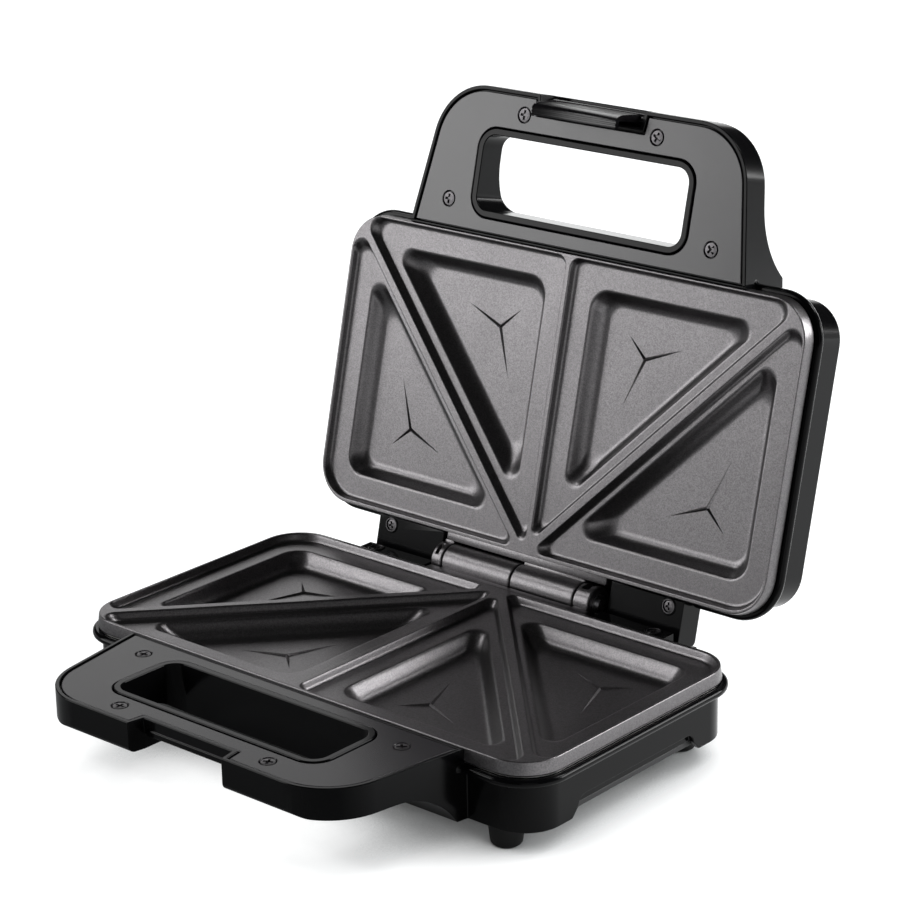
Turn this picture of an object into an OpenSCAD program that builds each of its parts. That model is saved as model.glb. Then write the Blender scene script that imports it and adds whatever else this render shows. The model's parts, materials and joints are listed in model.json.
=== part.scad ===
// Sandwich toaster: two heated plates in plastic housings, joined along the back by a hinge.
// The hinge axis runs along X. The handles point to -Y and the lid is drawn open.
// Both halves are drawn below the plane where the rims meet. The lid half is then mirrored
// upwards and turned open, so that one set of sizes serves both.

/* [Cooking plates] */
// Width of each plate
plate_w = 250; // [230:1:270]
// Depth of each plate from front to back
plate_d = 133.1; // [120:0.1:146]
// Corner radius of the plates
plate_corner_r = 18; // [14:0.5:21]
// Gap between the two rims when the lid is shut
rim_gap = 0.8; // [0.8:0.1:1.2]
// Height of the plate's outer edge
skirt_h = 6; // [5.5:0.1:7]
// Rim width at the sides
rim_side = 1.4; // [1.2:0.1:2.4]
// Rim width at the front
rim_front = 1.2; // [1.2:0.1:2.4]
// Rim width at the back
rim_back = 2; // [1.2:0.1:2.6]
// Width of the seams that cut each sandwich corner to corner
seam_w = 4; // [3:0.1:5]
// Width of the seam between the two sandwiches
middle_seam_w = 2.6; // [2.4:0.1:4]
// Sideways offset of the point where the seams meet
hub_x = -2; // [-4:0.5:4]
// Depth of the crust level below the rim
crust_depth = 3.5; // [3:0.1:4]
// Radius of the cells' corners next to the hub of the seams
cell_hub_r = 2.5; // [2:0.1:3.5]
// Radius of the cells' corners next to the front corners of the plate
cell_tip_r = 5; // [4.6:0.1:7]
// Radius of the front cells' square corner
cell_square_r = 4.5; // [3:0.1:8]
// Width of the crust level along the straight edges
crust_w = 11.2; // [10.8:0.1:12.4]
// Width of the crust level along the diagonal seams
crust_seam_w = 3.8; // [3:0.1:5]
// Depth of the wells below the crust level
well_depth = 7; // [5:0.1:8]
// How far the well walls lean in from top to floor
well_lean = 5; // [3:0.1:6]
// Radius of the acute corners of the wells
well_r = 5; // [4:0.1:6]
// Radius of the square corner of the wells
well_square_r = 9; // [6:0.1:11]
// Wall thickness of the casting
cast_t = 2.5; // [2:0.1:3]

/* [Hinge] */
// Distance from the plates' back edge to the hinge axis
hinge_back = 11.54; // [11.2:0.01:13]
// Radius of the hinge barrels
barrel_r = 7.5; // [6.5:0.1:7.8]
// Radius of the hinge pin
pin_r = 2.5; // [2:0.05:3]
// Radial clearance between the hinge pin and the barrels
pin_fit = 0.05; // [0.03:0.01:0.09]
// Place of the joint between the two long barrels
barrel_joint_x = -0.6; // [-3:0.1:3]
// Length of the lower plate's long barrel
lower_barrel_l = 38.7; // [34:0.1:39]
// Length of the upper plate's long barrel
upper_barrel_l = 34.5; // [30:0.1:36]
// Length of the knuckle at the left end
left_knuckle_l = 5.7; // [4:0.1:6]
// Length of the knuckle at the right end
right_knuckle_l = 8.2; // [6:0.1:9]
// Gap between neighbouring barrels
barrel_gap = 0.6; // [0.5:0.1:1]
// Air round the turning barrels
barrel_air = 0.7; // [0.5:0.1:0.9]
// Width of the hinge tongues on the plates' back edge
tongue_w = 90; // [88:1:92]
// Thickness of the hinge pin's head
pin_head_t = 1; // [0.8:0.1:1.2]
// Opening angle of the lid
lid_open = 103.85; // [95:0.05:106]

/* [Housings] */
// Depth of the base housing below the plane where the rims meet
base_depth = 30.8; // [30.6:0.1:36]
// Depth of the lid housing above that plane
lid_depth = 28.5; // [28.5:0.1:34]
// How far the housing walls stand inside the plates' edge
housing_inset = 1; // [0.6:0.1:1.6]
// Wall thickness of the housings
housing_wall = 2.4; // [2:0.1:2.6]
// How far the bead stands out past the plates' edge
bead_out = 3; // [2:0.1:4]
// Height of the bead
bead_h = 3.4; // [2.6:0.1:4]
// Thickness of the housing floors
floor_t = 2; // [1.8:0.1:2.4]
// Height of the arch in the side skirts
arch_h = 8.1; // [6:0.1:8.4]
// Distance from the plates' front edge to the arch
arch_front = 30; // [27:0.5:36]
// Distance from the plates' back edge to the arch
arch_back = 29; // [27:0.5:36]
// Thickness of the bottom cover
bottom_t = 2.4; // [2:0.1:2.6]
// Gap round the bottom cover
bottom_gap = 0.4; // [0.3:0.1:0.8]
// Thickness of the steel pans
sheet_t = 0.7; // [0.5:0.1:0.9]
// Distance from the plates' edge to the walls of the steel pans
pan_inset = 5; // [4.6:0.1:5.2]
// Diameter of the feet
foot_d = 15; // [12:0.5:16]
// Height of the feet below the base housing
foot_h = 10.2; // [6:0.1:14]
// Distance from the plates' sides to the foot centres
foot_inset_x = 21; // [20:0.5:26]
// Distance from the plates' front edge to the front foot centres
foot_inset_front = 10.2; // [10:0.1:14]
// Distance from the plates' back edge to the rear foot centres
foot_inset_back = 11; // [10.6:0.1:14]
// Width of the panel on the lid
panel_w = 206; // [180:1:210]
// Depth of the panel on the lid
panel_d = 96; // [80:1:100]
// Thickness of the panel on the lid
panel_t = 1.6; // [1.2:0.1:1.8]

/* [Hinge covers] */
// Width of the hinge covers
hinge_cover_w = 172; // [164:1:180]
// Width of the bay for the hinge barrels
hinge_bay_w = 95; // [95:1:100]
// How far the lid's hinge cover reaches behind the hinge axis
lid_heel = 9; // [8:0.1:9.5]
// Height of the lid's hinge cover above the plane where the rims meet
lid_heel_h = 14; // [12:0.1:15]
// How far the base's hinge cover reaches behind the hinge axis
base_heel = 13; // [12:0.1:16]
// Gap between the open lid and the ledge that stops it
stop_gap = 0.35; // [0.3:0.05:0.6]
// How far the hinge covers' top faces lie below the plane where the rims meet
ear_drop = 1; // [0.8:0.1:1.4]
// Distance from the hinge covers' ends to their screws
ear_screw_set = 7.5; // [7:0.5:12]
// Distance of the hinge cover screws in front of the hinge axis
ear_screw_y = 7.6; // [7.4:0.1:7.8]
// Diameter of the rings round the hinge cover screws
ear_ring_d = 7.2; // [7:0.1:7.3]

/* [Handles] */
// Width of the handle covers at their back edge
cover_w = 178.6; // [170:0.2:184]
// Length of the handle covers from back edge to front edge
cover_l = 61; // [58:0.5:66]
// Gap between the plates' front edge and the handle covers
cover_set = 1.86; // [1.5:0.02:2.5]
// Angle at which the handle sides draw in
handle_taper = 9.5; // [6:0.5:12]
// Radius of the handle covers' front corners
handle_corner_r = 25; // [20:0.5:28]
// Thickness of the handle covers
cover_t = 2; // [1.6:0.1:2.4]
// Gap round the handle covers
cover_gap = 0.7; // [0.4:0.1:0.9]
// Depth of the handle covers' faces below the plane where the rims meet
cover_drop = 1; // [0.8:0.1:1.2]
// How far the handle walls stand above the cover faces
wall_proud = 0.4; // [0.2:0.1:0.4]
// Wall thickness of the handles
handle_wall = 1.8; // [1.6:0.1:2.2]
// Depth of each handle below the plane where the rims meet
handle_h = 14; // [13:0.1:16]
// Width of the hand opening
window_w = 112; // [100:1:118]
// Depth of the hand opening
window_d = 33.5; // [28:0.5:35]
// Distance from the handle covers' back edge to the hand opening
window_set = 9.3; // [8.5:0.1:11]
// Corner radius of the hand opening
window_r = 6.5; // [5:0.5:10]
// Width of the lip round the hand opening
window_lip = 2.8; // [2.2:0.1:3]
// Radius of the sweep from each handle into its housing
flare_r = 34; // [30:1:38]
// Distance from the handle covers' back edge to the start of that sweep
flare_set = 31.5; // [29:0.5:34]
// Width of the notch in the base handle
base_notch_w = 49; // [48:0.5:54]
// Width of the notch in the lid handle
lid_notch_w = 54; // [54:0.5:58]
// Depth of the notches from the front of the handles
notch_d = 7.3; // [7.2:0.1:8]
// How far each notch side leans out towards the front
notch_lean = 1.4; // [0:0.1:2]
// Sideways place of the back cover screws
back_screw_x = 71.9; // [68:0.1:76]
// Distance from the covers' back edge to the back cover screws
back_screw_set = 11.5; // [10:0.1:14]
// Sideways place of the base cover's front screws
base_screw_x = 41.2; // [38:0.1:46]
// Sideways place of the lid cover's front screws
lid_screw_x = 36.1; // [36:0.1:46]
// Distance from the covers' front edge to the front cover screws
front_screw_set = 7.6; // [7:0.1:8.5]

/* [Latch] */
// Left end of the latch clip
latch_left = -23.5; // [-23.5:0.5:-18]
// Right end of the latch clip
latch_right = 22; // [16:0.5:23]
// Thickness of the latch clip's arm
latch_t = 3; // [2.4:0.1:3]
// How far the latch clip reaches past the plane where the rims meet
latch_reach = 10.1; // [9.8:0.1:11]
// Thickness of the latch clip's lip
latch_lip_t = 1.8; // [1.4:0.1:1.8]
// Length of the latch clip's lip
latch_lip_l = 4; // [3.8:0.1:4]
// How far the latch clip leans in between its pivot and its lip
latch_lean = 3.1; // [2.8:0.1:3.3]
// Radius of the latch clip's pivot
latch_pivot_r = 2.8; // [2.4:0.1:2.8]
// Depth of the latch pivot in the lid handle
latch_pivot_z = 8; // [7:0.1:9]
// Radius of the latch pin
latch_pin_r = 1.2; // [1:0.05:1.4]
// Air between the latch clip and the notch
latch_air = 0.3; // [0.3:0.05:0.5]
// How far the catch ridge stands out of the base notch
ridge_out = 0.5; // [0.4:0.1:0.6]
// Height of the catch ridge
ridge_h = 2.4; // [2:0.1:3]

/* [Heating and wiring] */
// Diameter of the heating tubes
element_d = 6; // [5:0.1:6.2]
// Distance from the plates' edge to the heating tubes' centre line
element_inset = 8.5; // [8.4:0.1:8.6]
// Bend radius of the heating tubes
element_bend_r = 12; // [10:0.5:13]
// Sideways place of the heating tubes' ends
terminal_x = 16; // [14:0.5:18]
// Thickness of the element clamps
clamp_t = 1.2; // [1:0.1:1.6]
// Width of the element clamps
clamp_w = 10; // [8:0.5:12]
// Depth of the steel pans' inner floor below the plane where the rims meet
pan_depth = 16.6; // [16.6:0.1:17.4]
// Diameter of the thermostats
thermostat_d = 16; // [12:0.5:18]
// Height of the thermostats
thermostat_h = 6; // [4:0.1:6.2]
// Diameter of the lamp lenses
lens_d = 9.6; // [8:0.1:12]
// Distance between the two lamp lenses
lens_pitch = 28; // [24:1:36]
// Diameter of the neon lamps
lamp_d = 5; // [4:0.1:5.2]
// Radius of the hole in the cord inlet bush
cord_hole_r = 3.25; // [2.5:0.05:4]
// Outer radius of the cord inlet bush
bush_r = 6; // [5.2:0.1:6.4]
// Distance from the hinge covers' left end to the cord inlet
cord_set = 26; // [20:1:40]

/* [Screws] */
// Diameter of the cover screws' heads
screw_head_d = 6; // [5.6:0.1:6.2]
// Height of the cover screws' heads
screw_head_h = 1.2; // [1:0.1:1.3]
// Diameter of the recesses for the cover screws' heads
screw_recess_d = 6.9; // [6.6:0.1:7.2]
// Diameter of the screws' shanks
screw_d = 2.8; // [2.4:0.1:3]
// Radial clearance round the screws' shanks
screw_fit = 0.1; // [0.05:0.05:0.2]
// Length of the cover screws' shanks
screw_l = 8; // [6:0.5:9]
// Diameter of the moulded screw posts
post_d = 8; // [7.4:0.1:9]

/* [Hidden] */
$fn = 64;
// Overlap that keeps cuts from ending on a face
eps = 0.1;
// Longer than any cut needs to be
far = 200;

// Levels below the plane where the rims meet
rim_z = -rim_gap / 2;
crust_z = rim_z - crust_depth;
well_z = crust_z - well_depth;
skirt_z = rim_z - skirt_h;
well_under_z = well_z - cast_t;
flange_z = skirt_z - sheet_t;
bead_z = flange_z - bead_h;
pan_z = -pan_depth;
pan_under_z = pan_z - sheet_t;
base_cover_z = -base_depth + 1.6;
base_floor_z = base_cover_z + bottom_t;
base_inner_z = base_floor_z + floor_t;
lid_inner_z = -lid_depth + panel_t + floor_t;
cover_top_z = -cover_drop;
cover_bottom_z = cover_top_z - cover_t;
handle_top_z = cover_top_z + wall_proud;
element_z = skirt_z - element_d / 2 - 0.6;
clamp_z = element_z - element_d / 2;

// Outlines
plate_back = -hinge_back;
plate_front = plate_back - plate_d;
plate_side = plate_w / 2;
housing_back = plate_back - housing_inset;
cover_back = plate_front - cover_set;
cover_front = cover_back - cover_l;
handle_front = cover_front - cover_gap - handle_wall;
window_back = cover_back - window_set;
window_front = window_back - window_d;
notch_back = handle_front + notch_d;
corner_centre_y = cover_front + handle_corner_r;
corner_centre_x = side_x(corner_centre_y) - handle_corner_r / cos(handle_taper);
middle_y = (plate_front + plate_back) / 2;

// Hinge
bore_r = pin_r + pin_fit;
tongue_back = -barrel_r - barrel_air;
lower_barrels = [
  [barrel_joint_x - barrel_gap / 2 - lower_barrel_l, barrel_joint_x - barrel_gap / 2],
  [barrel_joint_x + barrel_gap * 1.5 + upper_barrel_l,
   barrel_joint_x + barrel_gap * 1.5 + upper_barrel_l + right_knuckle_l]
];
upper_barrels = [
  [lower_barrels[0][0] - barrel_gap - left_knuckle_l, lower_barrels[0][0] - barrel_gap],
  [barrel_joint_x + barrel_gap / 2, barrel_joint_x + barrel_gap / 2 + upper_barrel_l]
];
pin_left = upper_barrels[0][0];
pin_right = lower_barrels[1][1];
clip_t = 0.8;

// Screw posts that join plate, pan and housing: two on the middle seam, one on each diagonal
post_step = plate_d / 6;
post_x = plate_w * 0.23;
posts = [
  [0, middle_y - post_step * 1.1],
  [0, middle_y + post_step],
  [post_x, seam_y(1, post_x, 0)],
  [-post_x, seam_y(-1, -post_x, 0)]
];
bottom_screw_inset = 36;
bottom_screws = [
  for (x = [-1, 1], y = [-1, 1]) [x * (plate_side - bottom_screw_inset), middle_y + y * plate_d * 0.32]
];
feet = [
  for (x = [-1, 1], y = [plate_front + foot_inset_front, plate_back - foot_inset_back])
    [x * (plate_side - foot_inset_x), y]
];
// Clamp places: screw point, then the point of the heating tube that the clamp holds
element_x = plate_side - element_inset;
element_front = plate_front + element_inset;
element_back = plate_back - element_inset;
clamp_screw_d = 2.6;
clamp_corner = element_bend_r * (1 - cos(45));
clamp_reach = 9;
clamps = [
  [[0, element_front + clamp_reach], [0, element_front]],
  for (s = [-1, 1])
    [[s * (element_x - clamp_corner - clamp_reach * cos(45)), element_front + clamp_corner + clamp_reach * cos(45)],
     [s * (element_x - clamp_corner), element_front + clamp_corner]]
];

// Inner face of the side skirts, and the kerbs behind their arches
skirt_in = plate_w / 2 - housing_inset - housing_wall;
kerb_w = 1.7;
kerb_h = arch_h - base_depth + 1.2 - base_inner_z;

// Latch
latch_y = notch_back - latch_air - latch_pivot_r;
latch_front = latch_y - 2.2;
ridge_low = latch_reach - latch_lip_t - 2 * latch_air;
latch_lip_end = latch_front + latch_lean + latch_lip_l;
latch_profile = [
  [latch_front, -latch_pivot_z], [latch_front + 0.25 * latch_lean, latch_reach - 9],
  [latch_front + 0.5 * latch_lean, latch_reach - 3], [latch_front + 0.7 * latch_lean, latch_reach - 0.9],
  [latch_front + latch_lean, latch_reach], [latch_lip_end, latch_reach], [latch_lip_end, latch_reach - latch_lip_t],
  [latch_front + latch_t + 0.15 * latch_lean, latch_reach - latch_lip_t], [latch_front + latch_t, -latch_pivot_z]
];
lid_notch_d = latch_pivot_z + latch_pivot_r + 0.8;
latch_pin_end = lid_notch_w / 2 + 3.5;
latch_barrel_end = lid_notch_w / 2 - 0.5;

// Screws inside the housings and the level at which the plate screws' heads sit
clamp_screw_l = 5;
plate_screw_l = 12;
post_low_z = pan_under_z - floor_t;
bottom_boss_h = 4;

// Small shapes: arch corners, way through for the wires, feet stems, heel of the lid, ledge, inlet, lamps
arch_r = 4;
wire_way_w = 60;
wire_way_h = 7;
foot_stem_r = 2.5;
heel_r = 2.5;
ear_back = -3.5;
ear_screw_x = hinge_cover_w / 2 - ear_screw_set;
hinge_room_h = 12.5;
bush_l = 6;
cord_x = cord_set - hinge_cover_w / 2;
cord_z = -base_depth + housing_wall + hinge_room_h / 2;
terminal_l = 5;
lens_y = plate_front + 13;

// Where the part's origin lies: under the hinge frame, midway between its front and rear ends
hinge_z = base_depth + foot_h;
rear_reach = max([for (p = handle_profile(lid_depth)) p[0] * cos(lid_open) - p[1] * sin(lid_open)]);
hinge_y = -(handle_front + rear_reach) / 2;

// ---- Frames ----

// The base half, standing on its feet
module in_base() {
  translate([0, hinge_y, hinge_z]) children();
}

// The lid half, drawn like the base half and turned open about the hinge
module in_lid() {
  in_base() rotate([-lid_open, 0, 0]) mirror([0, 0, 1]) children();
}

// ---- Outline helpers ----

// Points of an arc about a centre
function arc(c, r, from, to, n = 12) =
  [for (i = [0 : n]) c + r * [cos(from + (to - from) * i / n), sin(from + (to - from) * i / n)]];

// Length of a plane vector scaled to one
function unit(v) = v / norm(v);

// A quarter turn clockwise
function turn(v) = [v[1], -v[0]];

// Rectangle with round corners between two x and two y values
module round_rect(x0, x1, y0, y1, r) {
  translate([x0 + r, y0]) square([x1 - x0 - 2 * r, y1 - y0]);
  translate([x0, y0 + r]) square([x1 - x0, y1 - y0 - 2 * r]);
  for (x = [x0 + r, x1 - r], y = [y0 + r, y1 - r]) translate([x, y]) circle(r);
}

// Points that round corner p, which lies between a and b, with radius r
function fillet(a, p, b, r, n = 8) =
  let (
    u = unit(a - p),
    v = unit(b - p),
    half = acos(u * v) / 2,
    c = p + unit(u + v) * r / sin(half),
    from = p + u * r / tan(half) - c,
    to = p + v * r / tan(half) - c,
    start = atan2(from[1], from[0]),
    swing = atan2(to[1], to[0]) - start,
    sweep = swing > 180 ? swing - 360 : swing < -180 ? swing + 360 : swing
  )
  arc(c, r, start, start + sweep, n);

// Points of an outline whose corners are rounded with their own radii
function rounded(corners, radii) =
  let (n = len(corners))
  [for (i = [0 : n - 1]) each fillet(corners[(i + n - 1) % n], corners[i], corners[(i + 1) % n], radii[i])];

// A plane outline in Y and Z, drawn out along X
module along_x(w) {
  rotate([90, 0, 90]) linear_extrude(w, center = true) children();
}

// A plane outline drawn out between two levels
module between(low, high) {
  translate([0, 0, low]) linear_extrude(high - low) children();
}

// The plates' outline, grown or shrunk
module plate_outline(grow = 0) {
  round_rect(-plate_side - grow, plate_side + grow, plate_front - grow, plate_back + grow, plate_corner_r + grow);
}

// ---- Seams and cells of the cooking plates ----

// Direction of the diagonal seam on side s, from the hub to the front corner
function seam_dir(s) = unit([s * plate_side - hub_x, plate_front - plate_back]);

// A point on that seam's line, moved towards the front cell
function seam_point(s, off) = [hub_x, plate_back] + s * off * turn(seam_dir(s));

// Where that line crosses a given x or y
function seam_y(s, x, off) = seam_point(s, off)[1] + (x - seam_point(s, off)[0]) * seam_dir(s)[1] / seam_dir(s)[0];
function seam_x(s, y, off) = seam_point(s, off)[0] + (y - seam_point(s, off)[1]) * seam_dir(s)[0] / seam_dir(s)[1];

// Corners of a cell, moved in from its straight edges by m and from its seam by ms
function front_cell(s, m, ms) =
  let (x = s * (middle_seam_w / 2 + m), y = plate_front + rim_front + m, off = seam_w / 2 + ms)
  [[x, y], [seam_x(s, y, off), y], [x, seam_y(s, x, off)]];
function back_cell(s, m, ms) =
  let (x = s * (plate_side - rim_side - m), y = plate_back - rim_back - m, off = -seam_w / 2 - ms)
  [[x, y], [seam_x(s, y, off), y], [x, seam_y(s, x, off)]];
function cell(s, back, m, ms) = back ? back_cell(s, m, ms) : front_cell(s, m, ms);

// Corner radii of a cell in the same order: square corner, then its corners on the seam
function cell_radii(back, square_r, tip_r, hub_r) = back ? [square_r, hub_r, tip_r] : [square_r, tip_r, hub_r];

// Centre and radius of the circle that touches all three sides of a cell
function inner_centre(c) =
  let (a = norm(c[1] - c[2]), b = norm(c[2] - c[0]), d = norm(c[0] - c[1]))
  (a * c[0] + b * c[1] + d * c[2]) / (a + b + d);
function inner_radius(c) =
  let (a = norm(c[1] - c[2]), b = norm(c[2] - c[0]), d = norm(c[0] - c[1]))
  d * b / (a + b + d);

// Body of a well, leaning in from a level down to its floor. Grow makes the casting round it.
module well(s, back, top, bottom, grow) {
  c = cell(s, back, crust_w - grow, crust_seam_w - grow);
  centre = inner_centre(c);
  r = inner_radius(c);
  radii = cell_radii(back, well_square_r + grow, well_r + grow, well_r + grow);
  translate([centre[0], centre[1], top])
    mirror([0, 0, 1])
      linear_extrude(top - bottom, scale = (r - well_lean) / r)
        polygon([for (p = rounded(c, radii)) p - centre]);
}

// ---- Cooking plates ----

// One plate with its barrels at the given x spans
module plate(barrels) {
  difference() {
    union() {
      between(skirt_z, rim_z) plate_outline();
      for (s = [-1, 1], back = [false, true]) well(s, back, skirt_z + eps, well_under_z, cast_t);
      between(skirt_z, rim_z) translate([-tongue_w / 2, plate_back - 1]) square([tongue_w, tongue_back - plate_back + 1]);
      for (b = barrels) {
        translate([b[0], 0, 0]) rotate([0, 90, 0]) cylinder(r = barrel_r, h = b[1] - b[0]);
        between(skirt_z, rim_z) translate([b[0], tongue_back - 1]) square([b[1] - b[0], 1 - tongue_back]);
      }
      for (p = posts) translate([p[0], p[1], pan_z]) cylinder(d = post_d, h = skirt_z - pan_z + eps);
      for (c = clamps) translate([c[0][0], c[0][1], clamp_z]) cylinder(d = clamp_screw_d + 4, h = skirt_z - clamp_z + eps);
    }
    for (s = [-1, 1], back = [false, true]) {
      between(crust_z, rim_z + eps)
        polygon(rounded(
          cell(s, back, 0, 0),
          cell_radii(back, back ? plate_corner_r - rim_side : cell_square_r, cell_tip_r, cell_hub_r)));
      well(s, back, crust_z + eps, well_z, 0);
    }
    translate([-far, 0, 0]) rotate([0, 90, 0]) cylinder(r = bore_r, h = 2 * far);
    for (p = posts)
      translate([p[0], p[1], pan_z - eps]) cylinder(r = screw_d / 2 + screw_fit, h = plate_screw_l - (pan_z - post_low_z) + 1);
    for (c = clamps)
      translate([c[0][0], c[0][1], clamp_z - eps]) cylinder(r = clamp_screw_d / 2 + screw_fit, h = clamp_screw_l + 1);
  }
}

// ---- Steel pans ----

// Pan under a plate, its flange held between the plate and the housing
module pan() {
  difference() {
    union() {
      between(flange_z, skirt_z) plate_outline(-eps);
      between(pan_under_z, flange_z) plate_outline(sheet_t - pan_inset);
    }
    between(pan_z, skirt_z + eps) plate_outline(-pan_inset);
    for (p = posts) translate([p[0], p[1], pan_under_z - eps]) cylinder(d = screw_d + 1.2, h = 2 * sheet_t);
    for (s = [-1, 1])
      translate([s * terminal_x, element_back, pan_under_z - eps]) cylinder(d = element_d + 2, h = 2 * sheet_t);
  }
}

// ---- Heating tubes, their clamps and screws ----

// Heating tube round the plate's edge, with both ends turned down through the pan
module element() {
  r = element_bend_r;
  x = element_x - r;
  front = element_front + r;
  back = element_back - r;
  translate([0, 0, element_z]) {
    for (s = [-1, 1]) {
      translate([s * element_x, front, 0]) rotate([-90, 0, 0]) cylinder(d = element_d, h = back - front);
      translate([s * (terminal_x + element_d), element_back, 0])
        rotate([0, s * 90, 0]) cylinder(d = element_d, h = x - terminal_x - element_d);
      translate([s * (terminal_x + element_d), element_back, 0]) mirror([s > 0 ? 0 : 1, 0, 0])
        translate([0, 0, -element_d]) rotate([90, 0, 0]) rotate([0, 0, 90]) elbow(element_d);
      translate([s * terminal_x, element_back, -element_d - terminal_l]) cylinder(d = element_d, h = terminal_l);
      mirror([s > 0 ? 0 : 1, 0, 0]) {
        translate([x, front, 0]) rotate([0, 0, -90]) elbow(r);
        translate([x, back, 0]) elbow(r);
      }
    }
    translate([-x, element_front, 0]) rotate([0, 90, 0]) cylinder(d = element_d, h = 2 * x);
  }
}

// Quarter bend of the heating tube about the Z axis
module elbow(r) {
  rotate_extrude(angle = 90) translate([r, 0]) circle(d = element_d);
}

// Strips that press the heating tube up against the plate
module element_clamps() {
  for (c = clamps) {
    along = c[1] - c[0];
    difference() {
      translate([c[0][0], c[0][1], clamp_z - clamp_t]) rotate([0, 0, atan2(along[1], along[0])])
        translate([-clamp_w / 2, -clamp_w / 2, 0]) cube([norm(along) + clamp_w / 2 + element_d / 2, clamp_w, clamp_t]);
      translate([c[0][0], c[0][1], clamp_z - 2 * clamp_t]) cylinder(r = clamp_screw_d / 2 + screw_fit, h = 3 * clamp_t);
    }
  }
}

// Screw standing on its head's underside at z = 0, with its head below and its shank above
module screw(head_d, head_h, shank_d, l) {
  difference() {
    union() {
      translate([0, 0, -head_h]) cylinder(d = head_d, h = head_h);
      cylinder(d = shank_d, h = l);
    }
    for (a = [0, 90]) rotate([0, 0, a])
      translate([-head_d * 0.35, -head_d * 0.08, -head_h - eps]) cube([head_d * 0.7, head_d * 0.16, head_h * 0.6 + eps]);
  }
}
module clamp_screws() {
  for (c = clamps) translate([c[0][0], c[0][1], clamp_z - clamp_t]) screw(clamp_screw_d + 2, 1, clamp_screw_d, clamp_screw_l);
}

// Screws from the posts of a housing up into the posts of its plate
module plate_screws() {
  for (p = posts) translate([p[0], p[1], post_low_z]) screw(screw_head_d - 1, screw_head_h, screw_d, plate_screw_l);
}

// ---- Housings ----

// Outline of the housing walls, grown or shrunk
module housing_outline(grow = 0) {
  plate_outline(grow - housing_inset);
}

// Tub with a bead round its top and a floor
module tub(depth, inner_z, under_z) {
  difference() {
    union() {
      between(-depth, flange_z) housing_outline();
      difference() {
        between(bead_z, flange_z) plate_outline(bead_out);
        translate([-hinge_cover_w / 2 - bottom_gap, housing_back, bead_z - eps])
          cube([hinge_cover_w + 2 * bottom_gap, far, bead_h + 2 * eps]);
      }
    }
    between(inner_z, flange_z + eps) housing_outline(-housing_wall);
    between(-depth - eps, under_z) housing_outline(-housing_wall);
  }
  for (p = posts) translate([p[0], p[1], inner_z - eps]) cylinder(d = post_d + 2, h = pan_under_z - inner_z + eps);
}

// Deep holes for the plate screws, entered from below the floor
module post_holes(under_z) {
  for (p = posts) translate([p[0], p[1], 0]) {
    translate([0, 0, under_z - eps]) cylinder(d = screw_head_d, h = post_low_z - under_z + eps);
    translate([0, 0, under_z]) cylinder(r = screw_d / 2 + screw_fit, h = pan_under_z - under_z + eps);
  }
}

// Half width of the handle cover at a given y
function side_x(y) = cover_w / 2 + (y - cover_back) * tan(handle_taper);

// Outline of a handle, grown or shrunk, back to a given y
module handle_outline(grow, back) {
  c = [corner_centre_x, corner_centre_y];
  r = handle_corner_r + grow;
  side = c + r * [cos(handle_taper), -sin(handle_taper)];
  x = side_x(back) + grow / cos(handle_taper);
  polygon([
    [-x, back], [-side[0], side[1]], [-c[0], c[1] - r], [c[0], c[1] - r], [side[0], side[1]], [x, back]
  ]);
  for (s = [-1, 1]) translate([s * c[0], c[1]]) circle(r);
}

// Outline of the hand opening, grown
module window_outline(grow = 0) {
  round_rect(
    -window_w / 2 - grow, window_w / 2 + grow, window_front - grow, window_back + grow, window_r + grow);
}

// Outline of a notch, grown
module notch_outline(w, grow = 0) {
  x = w / 2 + grow;
  polygon([
    [-x, notch_back + grow], [-x - notch_lean, handle_front], [-x - notch_lean, handle_front - far],
    [x + notch_lean, handle_front - far], [x + notch_lean, handle_front], [x, notch_back + grow]
  ]);
}

// Side outline of a handle from its front to the housing, in Y and Z
function handle_profile(depth, inset = 0) =
  let (
    front = handle_front + inset,
    low = -handle_h + inset,
    edge_r = 3,
    c = [cover_back - flare_set, -handle_h - flare_r],
    end = acos((flare_r + handle_h - depth + (inset > 0 ? 2 : 0)) / flare_r)
  )
  [
    [plate_front + 2 + inset, handle_top_z + inset], [front, handle_top_z + inset],
    each arc([front + edge_r, low + edge_r], edge_r, 180, 270, 6),
    each arc(c, flare_r + inset, 90, 90 - end, 12),
    [plate_front + 2 + inset, -depth]
  ];

// Screw places of a handle cover
function cover_screws(front_x) = [
  for (s = [-1, 1]) each [[s * back_screw_x, cover_back - back_screw_set], [s * front_x, cover_front + front_screw_set]]
];

// Hollow handle bow, open at the top for its cover
module handle(depth, notch_w, front_x, notch_d) {
  difference() {
    intersection() {
      along_x(2 * far) polygon(handle_profile(depth));
      between(-depth - eps, 0) handle_outline(cover_gap + handle_wall, plate_front + 1.5);
    }
    // recess for the cover
    between(cover_bottom_z, 0) difference() {
      handle_outline(cover_gap, cover_back + cover_gap);
      window_outline(window_lip);
      notch_outline(notch_w, handle_wall);
    }
    // hollow below it
    intersection() {
      along_x(2 * far) polygon(handle_profile(depth - floor_t, handle_wall + 0.4));
      between(-depth, cover_bottom_z + eps) difference() {
        handle_outline(-handle_wall, cover_back - handle_wall);
        window_outline(window_lip);
        notch_outline(notch_w, handle_wall);
        for (p = cover_screws(front_x)) translate(p) circle(d = post_d);
      }
    }
    between(-depth - eps, eps) window_outline();
    between(-notch_d, eps) notch_outline(notch_w);
    between(handle_top_z - wall_proud, eps)
      translate([-far, cover_back + cover_gap]) square([2 * far, far]);
    for (p = cover_screws(front_x))
      translate([p[0], p[1], cover_bottom_z - screw_l - 1]) cylinder(r = screw_d / 2 + screw_fit, h = screw_l + 2);
  }
}

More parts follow.
